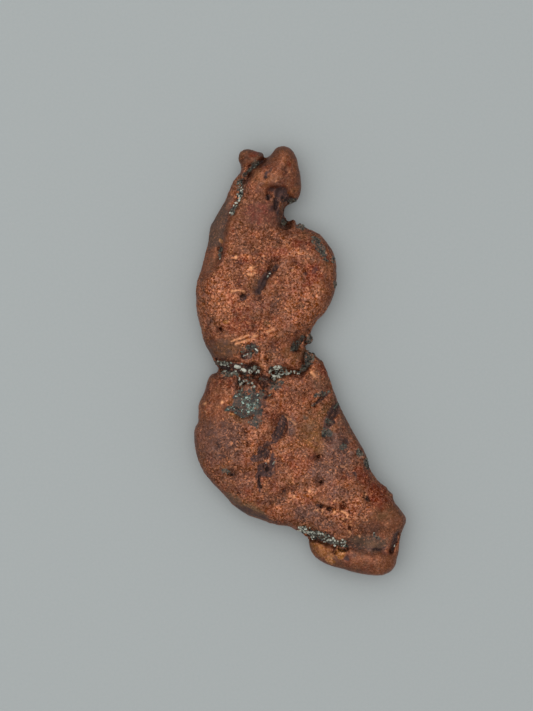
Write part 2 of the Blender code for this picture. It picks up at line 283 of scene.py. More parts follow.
trial = np.array([(0.0, 0.0), (0.9, 0.0), (2.0, 0.0)])
print("a spot of radius 1 at 0, 0.9 and 2:", spots_at(trial, [(0, 0, 1, 1)], 1.2, 0.3).round(2))

# %% [markdown]
# ## The places that are looked up
# The marks are listed as seen from above, and must not go through to the under face. So a number
# says of each point how far it faces up. The places for the stains are moved about by noise of two
# sizes, as a film creeps over a surface and never ends in a clean curve. A hand-drawn edge would
# do too, but noise also carries on round the rim.

# %% Points, their facing and the stains' places
SIDEWAYS = -0.35  # a normal that leans down more than this belongs to the under face

mesh = nugget.data
points = points_of(mesh)
faces_up = fade(points_of(mesh, "normal")[:, 2], SIDEWAYS, 0.0)
stain_places = ragged(ragged(points, 2.0, 0.45, seed=11), 0.6, 0.22, seed=31)[:, :2]
print(f"{100 * faces_up.mean():.0f} % of the points face up or sideways")

# %% [markdown]
# ## Rubbed copper
# Wherever the nugget stands a little proud, handling and the river bed keep rubbing the film
# off, and the copper shows bright and grainy. A maker would get this by tarnishing the whole and
# rubbing it back. Three long narrow blobs along the rims are painted light rather than wear: they
# lighten rims that lean away from the light. Here each finish is a list of blobs, which become one
# number at each point, kept in the mesh as an attribute that a material can read. The list
# describes the upper face. Below, where nothing tells one place from another, noise spreads the
# same finish about.

# %% Lay the rubbed copper
UNDER_SIZE = 5.0  # size of the patches below, in mm


def keep(mesh, name, values):
    """Stores one number per point as an attribute of the mesh."""
    slot = mesh.attributes.get(name) or mesh.attributes.new(name, "FLOAT", "POINT")
    slot.data.foreach_set("value", values.astype(np.float32))


finish = {}


def lay(name, upper, low, high, most, seed, edge=0.45):
    """Keeps a finish: its blobs above, and below it noise between low and high, most at most."""
    below = most * fade(layered(points, UNDER_SIZE, seed), low, high)
    finish[name] = blobs_at(stain_places, upper, edge) * faces_up + below * (1 - faces_up)
    keep(mesh, name, finish[name])
    print(f"{name} covers {100 * (finish[name] > 0.3).mean():.1f} % of the points")


RUBBED_AND_RIM_LIGHT = [
    (-12.2, 9.8, 2.4, 4.0, 0, 0.6), (-8.0, 13.7, 2.0, 1.0, 10, 0.1), (-7.4, 13.4, 0.8, 0.7, 0, 1.2),
    (-6.9, 15.6, 3.3, 0.4, 0, 0.6), (-0.7, 12.6, 1.4, 1.6, 0, 0.5), (0.9, 7.6, 2.9, 3.2, 30, 0.8),
    (-5.2, 4.4, 1.1, 1.0, 0, 0.75), (-8.4, 3.3, 2.3, 0.8, 15, 0.9), (-11.6, 6.6, 1.8, 1.6, 0, 0.25),
    # The three narrow blobs on the next line lie along the rims. They are painted light that lightens
    # the rims, not wear.
    (-15.2, 8.0, 1.0, 5.0, 0, 0.6), (5.0, 13.0, 0.8, 4.0, 0, 0.3), (-15.0, -8.0, 1.0, 5.0, 0, 0.4),
    (-2.8, 18.3, 1.9, 0.6, -48, 0.75), (-0.5, 16.2, 1.3, 0.7, 0, 0.7),
    (-6.2, 19.4, 2.6, 2.2, 0, 0.15), (-1.6, -13.2, 2.0, 1.7, 0, 0.4),
    (-8.2, -12.0, 2.2, 2.0, 0, 0.45), (-0.6, -16.2, 2.0, 1.6, 0, 0.3),
    (6.5, -22.8, 1.9, 2.4, 30, 0.82), (9.2, -21.4, 0.9, 1.8, 25, 0.7),
    (1.3, -19.5, 1.5, 0.8, 30, 0.85), (-3.0, -22.9, 2.2, 1.1, 0, 0.4),
    (2.2, -2.3, 1.3, 0.8, -40, 0.9), (-5.7, -0.2, 0.75, 1.5, 0, 0.8), (1.5, -6.4, 1.8, 1.0, 40, 0.4),
    (-0.5, -7.0, 1.6, 1.0, 0, 0.4), (12.4, -30.8, 2.6, 1.1, 5, 0.3),
    (-10.3, 24.4, 0.5, 1.3, -20, 0.6), (-3.4, -6.2, 2.2, 1.2, 30, 0.35), (2.8, 9.9, 1.4, 2.2, 0, 0.4),
    (-6.4, -10.4, 1.6, 1.0, 20, 0.5), (0.4, -12.8, 1.0, 0.9, 0, 0.4), (-5.2, -14.9, 0.6, 0.5, 0, 0.9),
    (-13.6, -6.5, 1.2, 1.6, 0, 0.3), (-3.0, 29.4, 2.2, 2.2, 0, 0.15),
    (-0.9, -20.3, 1.2, 0.6, 20, 0.8), (5.9, -29.0, 0.6, 0.65, 0, 0.9),
    (4.5, -30.2, 0.5, 0.35, -15, 0.9), (-7.2, -3.3, 1.6, 1.0, 0, 1.1),
    (7.6, -19.0, 1.6, 0.8, -25, 0.4), (-12.9, 13.2, 1.0, 0.9, 0, 0.5),
    (-13.6, 14.8, 0.9, 1.8, -8, 0.7),
]
lay("rubbed", RUBBED_AND_RIM_LIGHT, 0.15, 0.75, 0.7, seed=200, edge=0.8)

# %% [markdown]
# ## Brown film and patina
# In air, copper grows a brown film within months. It is thicker and greyer where the metal was
# worn smooth, as on the flanks, and there it turns to a dull patina. The two are laid apart,
# because the film only dims the copper, and the patina hides it.

# %% Lay the brown film and the patina
FILM = [
    (-5.8, 22.2, 3.8, 2.6, 0, 1.6), (-7.3, 30.8, 1.9, 1.5, 0, 0.9), (-11.2, -11.6, 2.8, 3.2, 0, 1.4),
    (-9.4, 12.8, 1.8, 0.9, 0, 0.8), (-8.0, 17.0, 3.0, 1.0, 0, 0.5), (-4.6, 8.3, 1.6, 2.6, 0, 0.3),
    (-11.4, 2.4, 2.6, 2.0, 0, 1.4), (-6.4, 1.8, 1.2, 0.9, 0, 0.5), (2.5, -1.4, 1.4, 1.6, 0, 0.3),
    (-0.4, -18.4, 2.4, 1.2, 0, 0.25), (0.6, -14.0, 1.8, 0.8, 0, 0.3),
    (3.2, -24.0, 2.2, 1.3, -10, 0.8), (13.4, -23.4, 1.6, 1.6, 0, 0.5),
    (-7.6, -14.0, 1.2, 1.0, 0, 0.5), (5.0, -20.4, 2.0, 1.0, 0, 0.6), (13.2, -23.8, 2.4, 2.4, 0, 1.0),
    (-5.0, 18.0, 3.4, 1.6, 0, 0.55), (-8.0, 7.0, 2.4, 2.0, 0, 0.5), (7.4, -26.3, 2.6, 1.0, -10, 1.1),
    (-3.0, 28.6, 3.6, 3.4, 0, 0.25), (-12.6, 6.0, 1.6, 1.4, 0, 0.6), (-10.2, 15.0, 1.8, 0.7, 0, 0.6),
    (-9.0, 18.6, 2.2, 2.6, 0, 0.55), (3.6, -10.6, 1.6, 3.2, 30, 0.25),
    (-9.5, -16.6, 3.0, 2.2, 0, 0.3), (10.4, -30.2, 5.6, 1.6, 6, 0.6), (10.4, -25.2, 2.2, 2.6, 0, 0.7),
    (3.3, 18.2, 1.3, 2.8, 35, 0.5), (5.4, 13.2, 0.7, 3.0, 0, 0.6), (8.4, -26.6, 3.0, 0.8, -5, 0.6),
    (1.6, -22.8, 2.2, 1.6, 0, 0.8), (3.0, 0.6, 1.2, 3.0, 40, 0.9), (-2.2, 2.2, 3.0, 1.6, 0, 0.1),
    (-9.2, 9.2, 1.0, 0.8, 0, 0.4), (4.6, 8.4, 0.8, 3.0, -12, 0.25), (7.4, -9.6, 0.7, 3.6, 28, 0.7),
    (-10.6, -4.0, 2.0, 1.6, 0, 0.3), (1.4, -4.2, 2.2, 1.0, 20, 0.5), (-1.4, -6.6, 0.9, 0.9, 0, 0.3),
]
PATINA = [
    (-12.3, 20.4, 1.2, 3.8, -18, 1.25), (-5.8, 22.2, 3.2, 2.2, 0, 0.62),
    (-11.0, 23.6, 0.6, 1.9, -28, 0.7), (10.3, -27.3, 3.6, 1.3, -5, 0.85),
    (13.2, -23.6, 1.8, 1.8, 0, 0.25), (-7.2, 30.9, 1.5, 1.2, 0, 0.4), (-11.8, 1.6, 2.2, 1.3, 0, 0.3),
    (-7.2, -22.8, 2.8, 0.8, -24, 0.95), (-10.0, -20.9, 1.8, 0.7, -40, 0.9),
    (5.2, -24.8, 1.2, 0.7, 0, 0.3), (3.6, -20.9, 1.4, 0.5, -10, 0.4), (-1.4, -10.2, 0.6, 1.4, 0, 0.4),
    (3.0, -3.2, 1.6, 2.2, 30, 0.45), (6.6, -10.6, 1.0, 2.4, 28, 0.5), (-1.6, 1.4, 2.4, 1.2, 0, 0.1),
    (8.6, -28.8, 1.8, 0.8, 0, 0.5), (-12.9, -1.9, 0.6, 0.9, 0, 0.5), (-9.7, 26.9, 0.5, 1.4, -20, 0.4),
    (-7.4, -3.6, 2.0, 1.2, 0, 0.2), (-7.4, -9.0, 1.4, 0.8, 0, 0.5), (0.9, -8.4, 0.5, 0.4, 0, 0.7),
    (5.6, -12.2, 1.2, 1.6, 28, 0.5), (-6.0, 11.2, 1.2, 1.8, -30, 0.5), (2.1, 13.6, 0.6, 0.5, 0, 0.9),
    (0.6, 13.0, 0.45, 0.35, 0, 0.8), (0.2, 8.3, 0.5, 0.45, 0, 0.6), (-13.6, 15.0, 0.9, 2.2, -8, 0.45),
    (-4.0, 17.0, 0.7, 0.5, 0, 0.4),
]
lay("film", FILM, -0.3, 0.4, 0.7, seed=210, edge=1.1)
lay("patina", PATINA, 0.1, 0.6, 0.7, seed=220, edge=0.9)

# %% [markdown]
# ## Dark oxide
# In the hollows the copper is coated with tenorite, a copper oxide, nearly black with a purple
# cast, which no wear reaches. A dark wash that is wiped off the high places gives the same. It is
# laid a little wider than each hollow, so that the hollow reads as one dark place from a step away.

# %% Lay the dark oxide
OXIDE = [
    (-3.15, 25.3, 0.95, 0.8, -10, 1.1), (-3.6, 23.9, 0.45, 1.7, 0, 1.1),
    (-2.5, 24.5, 0.9, 0.7, -25, 0.9), (-1.4, 24.2, 0.9, 0.35, 10, 0.9),
    (-4.8, 24.5, 0.28, 0.5, 10, 0.9), (-4.5, 25.8, 0.9, 0.3, 10, 0.6), (-4.2, 22.9, 0.8, 0.5, 0, 0.6),
    (-2.25, 21.6, 0.35, 1.2, 0, 1.0), (-0.45, 20.6, 0.2, 0.4, 0, 0.8),
    (-5.2, 27.7, 0.25, 0.7, -15, 0.8), (-4.6, 28.5, 0.2, 0.45, -25, 0.5),
    (-6.7, 29.3, 1.5, 0.4, 42, 0.7), (-5.85, 31.1, 0.35, 0.3, -50, 0.9),
    (-3.9, 14.0, 0.42, 0.7, -28, 1.0), (-5.0, 12.6, 0.55, 0.9, -28, 1.0),
    (-5.8, 11.3, 0.7, 0.9, -30, 0.75), (-6.3, 10.3, 0.65, 0.6, 0, 0.7),
    (-8.5, 9.5, 0.55, 0.55, 20, 0.8), (-7.4, 10.0, 0.8, 0.3, 0, 0.5),
    (-13.3, 5.8, 0.35, 0.35, 0, 0.6), (0.6, 13.1, 0.38, 0.33, 0, 0.55),
    (2.1, 13.5, 0.5, 0.45, 0, 0.45), (0.2, 8.3, 0.45, 0.4, 0, 0.4), (-9.2, 14.8, 1.0, 0.3, -5, 0.5),
    (-2.8, -9.3, 0.7, 1.35, -20, 1.0), (-3.35, -10.8, 0.85, 1.25, -22, 1.0),
    (-4.8, -12.2, 0.9, 0.4, 25, 0.7), (-5.6, -13.6, 1.0, 0.85, -10, 1.1),
    (-6.6, -14.6, 1.1, 0.65, 10, 1.1), (-5.2, -16.4, 1.35, 1.0, -10, 1.2),
    (-4.2, -15.0, 0.45, 1.4, 0, 0.9), (-6.2, -17.2, 0.5, 0.6, 0, 0.8),
    (-6.05, -18.3, 0.26, 1.0, 0, 1.1), (-9.6, -3.0, 2.6, 1.0, -5, 0.15),
    (-5.2, -3.2, 1.1, 1.1, 0, 0.6), (-11.2, -2.4, 1.2, 0.7, 0, 0.4), (-8.2, 0.9, 0.9, 0.45, 15, 0.9),
    (-7.0, 2.1, 0.9, 0.5, -20, 0.9), (0.6, -0.9, 0.9, 0.4, 30, 0.4), (5.1, -7.4, 0.75, 1.5, -28, 1.0),
    (4.3, -9.3, 0.7, 1.2, -20, 0.9), (3.1, -5.7, 0.28, 1.7, -54, 0.9),
    (-4.8, -5.3, 0.22, 0.8, -55, 0.8), (14.3, -27.4, 0.42, 1.6, -12, 1.0),
    (2.9, -21.7, 0.6, 0.22, -15, 0.8), (4.4, -22.2, 0.4, 0.3, 0, 0.7),
    (9.9, -20.5, 0.25, 0.7, 30, 0.9), (11.8, -28.3, 1.4, 0.16, 3, 0.7),
    (6.9, -29.6, 0.5, 0.4, -20, 0.8), (-9.8, -10.6, 1.6, 1.0, 0, 0.42),
    (-12.3, -12.6, 0.35, 0.3, 0, 0.6), (-11.8, -14.4, 0.9, 0.4, 0, 0.5),
    (-1.9, 17.6, 0.9, 0.5, -50, 0.4), (8.2, -17.0, 0.2, 0.6, 0, 0.9),
    (-2.0, -13.6, 0.9, 0.35, -35, 0.3), (-6.2, -6.4, 1.2, 1.6, 20, 0.5),
    (6.2, -13.2, 0.8, 0.5, 30, 0.7), (6.9, -12.0, 0.4, 0.8, 25, 0.6),
    (-2.4, -19.6, 0.25, 0.3, 0, 0.5), (-7.9, -15.5, 0.4, 0.3, 30, 0.5),
    (-4.7, -21.4, 0.6, 0.3, 30, 0.4), (7.2, -17.0, 0.25, 0.5, 20, 0.5),
    (-10.6, -17.0, 0.4, 0.35, 0, 0.8), (-7.2, -22.9, 2.8, 0.5, -24, 0.65),
    (-11.6, 1.9, 2.6, 1.7, 0, 0.45), (-9.2, -1.2, 3.2, 0.9, -8, 0.9),
    (3.4, -26.7, 3.6, 0.7, -18, 0.75), (-11.2, -11.2, 2.8, 2.8, 0, 0.38),
    (-1.2, 24.2, 0.8, 0.3, 15, 0.9),
]
lay("oxide", OXIDE, 0.25, 0.7, 0.9, seed=230)

# %% [markdown]
# ## Red, olive, gold and mauve
# A few places have a film of their own colour. Cuprite, the red oxide, shows brick red. A very
# thin film over smooth copper looks olive, golden or mauve, from the light that it turns back. A
# smith gets them with heat or weak acid, spot by spot. They are laid as blobs with wide soft
# edges, because a film that thin has no rim.

# %% Lay the coloured films
CUPRITE = [
    (9.4, -17.2, 1.3, 2.0, 25, 0.9), (11.5, -20.0, 1.4, 1.8, 30, 1.0),
    (12.3, -21.8, 1.0, 0.9, 0, 0.6), (1.7, 13.3, 1.4, 1.5, 0, 0.95), (-0.4, 17.5, 1.5, 0.8, 0, 0.8),
    (-3.9, 15.5, 1.2, 0.7, 0, 0.6), (-6.9, 31.1, 0.8, 0.5, 0, 0.9), (-1.7, 29.5, 0.35, 0.5, 0, 0.9),
    (-2.2, 5.6, 1.4, 1.0, 0, 0.3), (-8.6, 8.2, 2.2, 1.8, 0, 0.45), (-8.6, 5.4, 2.6, 1.3, 0, 0.6),
    (3.6, -1.4, 0.8, 1.6, 40, 0.6), (-8.4, 14.9, 1.8, 0.5, 0, 0.7), (-10.9, -3.4, 1.4, 1.0, 0, 0.6),
    (2.4, 16.0, 1.0, 0.8, -20, 0.4), (-1.0, -14.8, 1.8, 1.2, 0, 0.45), (-4.9, 25.3, 0.7, 0.5, 0, 0.4),
    (-4.3, 16.6, 1.2, 1.2, 0, 0.3), (0.8, 11.4, 1.2, 0.6, 0, 0.5), (-0.2, -16.2, 1.6, 1.0, 0, 0.3),
    (0.4, -2.8, 1.6, 0.8, 0, 0.4), (-5.8, 22.2, 3.0, 2.0, 0, 0.68),
]
OLIVE = [
    (-11.2, 2.0, 2.4, 1.4, 10, 0.75), (1.4, -10.8, 2.2, 3.0, -15, 0.7),
    (-9.8, -20.4, 1.6, 0.8, -38, 0.6), (3.7, -7.4, 0.8, 2.2, -35, 0.8),
    (2.6, -2.4, 1.4, 1.8, 20, 0.5), (-4.6, 0.6, 0.9, 1.4, 0, 0.4), (-7.2, -22.3, 2.2, 0.8, -25, 0.9),
    (12.5, -23.0, 2.0, 1.6, 0, 0.55), (-5.2, 5.7, 0.55, 0.45, 0, 1.0), (-0.4, 1.2, 2.4, 1.2, 10, 0.6),
    (3.8, -3.6, 1.2, 1.8, 35, 0.45), (0.2, 8.3, 0.6, 0.5, 0, 0.6), (0.6, -24.6, 1.8, 0.7, -15, 0.6),
    (1.0, -7.6, 1.4, 1.2, 0, 0.6), (3.0, -13.2, 1.4, 1.2, 0, 0.7), (-12.3, 20.4, 1.0, 3.2, -18, 0.4),
    (10.2, -23.6, 1.6, 1.0, 0, 0.35), (3.6, -11.0, 1.6, 1.2, 0, 0.5), (4.0, -16.0, 1.6, 1.0, 0, 0.4),
    (-9.0, -8.6, 1.6, 1.0, 0, 0.6), (10.6, -27.0, 3.2, 1.4, -5, 0.5),
]
GOLD = [
    (3.2, -28.7, 2.1, 1.3, -28, 0.6), (5.9, -29.0, 0.65, 0.7, 0, 1.4),
    (4.5, -30.2, 0.6, 0.35, -15, 1.6), (-11.0, 5.8, 0.4, 0.33, 0, 1.1),
    (-10.1, -8.0, 0.45, 0.3, 0, 0.9), (-12.1, 18.2, 0.3, 0.32, 0, 1.4),
    (2.3, -12.0, 1.3, 2.0, 0, 0.35), (-9.7, 16.0, 0.3, 0.25, 0, 0.9), (4.2, -7.6, 0.5, 1.6, -40, 0.4),
]
MAUVE = [
    (-13.4, -12.2, 2.4, 3.8, 5, 0.7), (-10.6, -11.2, 2.4, 2.6, 0, 0.65),
    (5.6, -13.8, 2.2, 3.0, 25, 0.9), (3.4, -16.8, 2.4, 1.6, 0, 0.9), (1.0, -22.6, 2.2, 1.4, 0, 0.8),
    (5.6, -19.8, 2.4, 1.2, -10, 0.7), (3.4, -24.2, 2.0, 1.0, -10, 0.7),
    (-1.2, -9.6, 0.9, 1.6, 0, 0.7), (-9.0, -17.6, 2.4, 1.2, -20, 0.4),
    (10.6, -25.4, 1.6, 1.6, 0, 0.5), (-9.6, -14.0, 1.6, 1.4, 0, 0.6), (0.2, -13.8, 1.4, 0.8, 0, 0.5),
    (7.8, -16.4, 1.2, 1.6, 20, 0.6), (-6.0, 8.4, 1.6, 1.4, 0, 0.5), (-7.8, -3.3, 2.0, 1.0, 0, 1.0),
    (-3.4, 27.6, 3.0, 3.0, 0, 0.3), (2.0, -19.0, 1.6, 1.0, 0, 0.4), (9.4, -29.6, 3.0, 1.2, 5, 0.3),
]
lay("cuprite", CUPRITE, 0.4, 0.8, 0.7, seed=240, edge=1.1)
lay("mauve", MAUVE, 0.1, 0.6, 0.6, seed=245, edge=1.1)
lay("olive", OLIVE, 0.2, 0.7, 0.6, seed=250, edge=1.2)
lay("gold", GOLD, 0.55, 0.9, 0.6, seed=260, edge=0.9)

# %% [markdown]
# ## The places of the minerals
# Where damp stood, green malachite has grown as a crust. The dark grey-green spots are chlorite,
# left from the lava, and the pale grains sit in seams where the nugget once pinched round them.
# Each of these stains the copper around it, and later gets real grains on top. They are listed as
# blobs and streaks, since the eye knows the nugget by them.

# %% Places of the minerals
MALACHITE = [
    (-8.0, -6.5, 1.9, 1.6, 0, 1.2), (-10.6, -7.2, 0.9, 0.35, 5, 1.1), (-7.2, -5.2, 1.0, 0.6, 20, 0.9),
    (-9.0, -7.9, 1.0, 0.4, -20, 0.9), (-6.3, -7.6, 0.6, 0.8, 0, 0.7), (-9.3, -5.2, 0.7, 0.45, 0, 0.8),
    (-6.7, -9.6, 0.45, 0.35, 0, 0.7), (-7.4, -4.2, 0.6, 0.4, 0, 0.6), (-6.5, -8.6, 0.5, 0.4, 0, 0.5),
]
CHLORITE = [
    (2.4, 18.1, 0.62, 0.85, 30, 1.0), (3.0, 17.0, 0.65, 0.9, 32, 1.0), (3.5, 16.2, 0.5, 0.55, 0, 1.0),
    (3.75, 15.2, 0.5, 0.25, 0, 0.9), (5.0, 15.3, 0.35, 0.45, 0, 1.0),
    (5.05, 11.8, 0.35, 0.6, 0, 0.95), (0.2, 20.2, 0.6, 0.4, -20, 1.0),
    (-2.25, 20.9, 0.4, 0.6, 0, 1.1), (-2.1, 22.6, 0.3, 0.6, 0, 0.7),
    (-12.0, 16.6, 0.35, 0.75, 0, 0.9), (-11.9, 15.6, 0.25, 0.4, 0, 0.8),
    (-10.1, 22.4, 0.4, 0.9, 0, 0.8), (-7.0, 29.2, 0.42, 1.3, -48, 1.0),
    (-8.3, 28.0, 0.5, 0.35, 45, 0.8), (-9.0, 26.4, 0.45, 1.1, 0, 0.7),
    (-0.6, 2.2, 0.5, 0.9, -35, 1.1), (0.1, 3.1, 0.4, 0.6, -30, 1.0), (1.3, 3.4, 0.4, 0.8, 0, 0.9),
    (1.5, 0.4, 0.75, 1.1, 10, 1.0), (0.8, -1.1, 0.9, 0.45, 20, 0.9), (4.2, -4.6, 0.4, 0.28, 45, 0.95),
    (2.9, -5.1, 0.95, 0.42, 10, 0.9), (1.8, -6.5, 0.3, 0.3, 0, 0.7), (4.0, -10.9, 0.8, 0.75, 0, 0.85),
    (4.3, -9.2, 0.5, 0.5, 0, 0.7), (5.4, -6.7, 0.3, 0.6, -30, 0.7), (6.3, -13.0, 0.7, 0.45, 20, 0.7),
    (8.9, -13.8, 0.5, 0.7, 30, 1.0), (9.9, -15.4, 0.35, 0.7, 10, 0.9),
    (-11.3, -16.5, 0.5, 0.4, 0, 0.85), (11.2, -25.9, 0.5, 0.3, -30, 0.8),
    (11.8, -26.5, 0.3, 0.25, 0, 0.8), (2.0, -26.2, 1.8, 0.6, -15, 0.55),
    (5.6, -27.6, 1.6, 0.5, -15, 0.55), (-12.2, -0.1, 0.6, 0.5, 0, 1.0),
    (-5.5, -2.6, 0.8, 0.4, 0, 0.5), (-7.4, 1.6, 1.5, 1.0, 0, 0.58), (-1.3, 24.0, 0.7, 0.3, 10, 0.9),
    (-8.8, -4.7, 1.0, 0.6, 0, 0.7), (0.6, -25.7, 0.7, 0.6, 0, 0.8), (-6.4, -5.2, 1.4, 0.9, 10, 0.6),
    (-6.6, -9.2, 0.9, 0.7, 0, 0.6), (-10.7, -1.9, 1.2, 0.5, 0, 0.8), (-7.7, -2.4, 1.0, 0.5, 0, 0.5),
    (-3.4, -3.4, 1.2, 0.7, 0, 0.65), (13.2, -27.9, 0.3, 0.2, 0, 0.7),
]
SEAMS = [
    ([(-12.2, -0.3), (-10.7, -0.4), (-9.4, -1.0), (-8.4, -1.5), (-6.8, -1.2),
      (-6.6, -1.7)], 0.42, 0.66),
    ([(-11.6, -1.7), (-10.0, -1.7), (-9.1, -2.0), (-9.0, -3.3), (-8.8, -4.4)], 0.28, 0.8),
    ([(-4.4, -1.4), (-3.3, -1.25), (-2.4, -1.25)], 0.5, 1.0),
    ([(-4.1, -2.2), (-3.4, -2.3), (-2.6, -2.0)], 0.52, 1.1),
    ([(-2.4, -1.95), (-1.4, -1.8), (-0.3, -1.7)], 0.28, 1.0),
    ([(-8.2, -3.0), (-7.3, -3.4), (-6.9, -4.2)], 0.16, 0.8),
    ([(-9.0, 27.1), (-8.9, 25.6), (-9.1, 24.4), (-9.7, 23.7), (-10.1, 23.2),
      (-10.1, 22.2)], 0.36, 0.85),
    ([(0.2, -25.3), (0.9, -25.3), (1.6, -26.2), (2.6, -26.0), (3.5, -26.3), (4.5, -26.8),
      (5.4, -27.4), (6.3, -27.3), (6.6, -27.5)], 0.62, 1.0),
    ([(1.9, -26.5), (2.9, -26.3), (3.9, -26.7)], 0.5, 0.95),
]
print(len(MALACHITE), "patches of malachite,", len(CHLORITE), "spots of chlorite,", len(SEAMS), "seams")

# %% [markdown]
# ## Gaps in the crust
# The malachite grew as a lace with gaps, and the seams have crumbled in places. A restorer would
# pick such gaps out with a needle. Here noise cuts them into the patches. No grain is left where
# the nugget rests on the ground.

# %% Lay the mineral grounds
NO_GRAINS, ALL_GRAINS = 0.2, 0.6  # heights above the ground, in mm
GAP_SIZE = 0.6  # mm
LACE, CRUMBLED = (-0.21, -0.07), (-0.4, -0.05)  # the noise where gaps end and the whole begins

lay("malachite", MALACHITE, 0.62, 0.85, 0.9, seed=270)
lay("chlorite", CHLORITE, 0.5, 0.7, 0.9, seed=280)
for name in ("malachite", "chlorite"):
    finish[name] *= fade(points[:, 2], NO_GRAINS, ALL_GRAINS)
    keep(mesh, name, finish[name])
lace = fade(-np.abs(layered(points, GAP_SIZE, 290, 2)), *LACE)
keep(mesh, "malachite_lace", finish["malachite"] * lace)
crumbled = fade(layered(points, GAP_SIZE, 295, 2), *CRUMBLED)
seam_places = ragged(points, 0.8, 0.22, seed=71)[:, :2]
finish["seam"] = streaks_at(seam_places, SEAMS) * faces_up * crumbled
keep(mesh, "seam", finish["seam"])
print(f"seam covers {100 * (finish['seam'] > 0.3).mean():.1f} % of the points")

# %% [markdown]
# ## A few bright glints
# These are painted highlights: small bright spots where a grain would flash in the light. They
# are listed one by one, like the jewels of a watch, because where they sit is part of this nugget's
# face. Bright lips are drawn with them: painted highlights along the crests of folds.

# %% Lay the glints
# Glints: x, y, radius, strength.
GLINTS = [
    (-9.6, 15.5, 0.28, 0.9), (-5.45, 15.7, 0.2, 0.8), (-7.3, 13.8, 0.35, 0.9), (-7.5, 12.9, 0.3, 0.8),
    (-0.2, 16.1, 0.22, 0.8), (-10.2, 10.5, 0.22, 0.7), (-8.5, 10.3, 0.28, 0.8),
    (-14.3, -6.4, 0.28, 0.8), (-14.2, -7.6, 0.14, 1.0), (-11.7, -6.2, 0.3, 0.8),
    (5.1, -20.9, 0.17, 0.9), (1.4, -19.5, 0.28, 0.8), (-0.9, -20.3, 0.28, 0.7),
    (9.85, -20.0, 0.2, 0.9), (6.4, -23.6, 0.2, 0.7), (7.6, -24.6, 0.25, 0.7), (7.4, -25.6, 0.22, 0.7),
    (2.5, -22.3, 0.25, 0.7), (1.75, -1.8, 0.28, 0.7), (4.6, -30.2, 0.3, 0.5),
    (-12.1, 18.2, 0.16, 0.7), (-1.6, 28.3, 0.14, 0.6), (-3.6, 27.0, 0.14, 0.5),
    (-4.9, -15.0, 0.24, 0.5), (-6.8, 3.8, 0.24, 0.6), (-9.9, 3.1, 0.24, 0.6), (-12.9, 13.0, 0.2, 0.6),
    (-8.2, 1.8, 0.16, 0.4), (5.1, -22.6, 0.28, 0.8), (8.9, -26.3, 0.22, 0.6), (-1.2, 13.6, 0.2, 0.6),
    (1.0, 11.0, 0.2, 0.5), (8.25, -21.6, 0.17, 0.6), (8.3, -23.4, 0.17, 0.6),
    (8.25, -24.7, 0.15, 0.8), (3.3, -22.4, 0.17, 0.7), (6.8, -24.4, 0.16, 0.6),
    (5.2, -26.3, 0.15, 0.5), (7.5, -24.1, 0.18, 0.6), (8.9, -20.4, 0.15, 0.5),
]
# Highlight lips, painted along the crests of folds: path, half width, strength.
HIGHLIGHT_LIPS = [
    ([(-10.2, 2.9), (-9.0, 3.4), (-7.8, 3.9)], 0.13, 0.5),
    ([(-9.7, 2.5), (-8.4, 3.0), (-7.3, 3.3)], 0.12, 0.45), ([(-7.2, 3.6), (-6.4, 3.7)], 0.12, 0.4),
    ([(-10.3, 10.4), (-9.3, 10.6), (-8.4, 10.4)], 0.13, 0.5),
    ([(-7.8, 13.0), (-7.2, 12.8), (-6.9, 13.2)], 0.14, 0.6),
    ([(-7.6, 13.7), (-7.0, 14.0)], 0.14, 0.6),
    ([(6.1, -22.4), (6.6, -22.6), (7.0, -23.0), (7.05, -23.5)], 0.12, 0.95),
    ([(-2.2, -8.3), (-1.4, -8.8), (-0.7, -9.4)], 0.13, 0.4),
    ([(6.0, -15.7), (6.6, -15.9), (7.0, -15.4)], 0.1, 0.3), ([(1.6, -1.6), (2.3, -2.3)], 0.2, 0.5),
    ([(9.3, -19.7), (9.7, -20.4)], 0.12, 0.4), ([(-5.0, 4.3), (-4.0, 4.8)], 0.14, 0.35),
    ([(-6.0, -0.4), (-5.6, -1.2)], 0.14, 0.4),
]
GLINT_RIM, GLINT_CORE = 1.2, 0.3  # in radii

glint_places = ragged(points, 0.3, 0.12, seed=61)[:, :2]
glints = spots_at(glint_places, GLINTS, GLINT_RIM, GLINT_CORE)
glints = np.maximum(glints, streaks_at(glint_places, HIGHLIGHT_LIPS))
keep(mesh, "glint", glints * faces_up)
print(len(GLINTS), "glints and", len(HIGHLIGHT_LIPS), "bright lips")

# %% [markdown]
# ## Pits, crevices and folds
# The solid has the broad form of every hollow. Here the same hollows get their crisp walls:
# vugs where crystals fell out, crevices along the seams, and torn or folded copper. A real one
# would be studied under a loupe and these places cut with a needle. Cutting them into the fine
# mesh keeps them true from all sides, which a bump in the material would not.

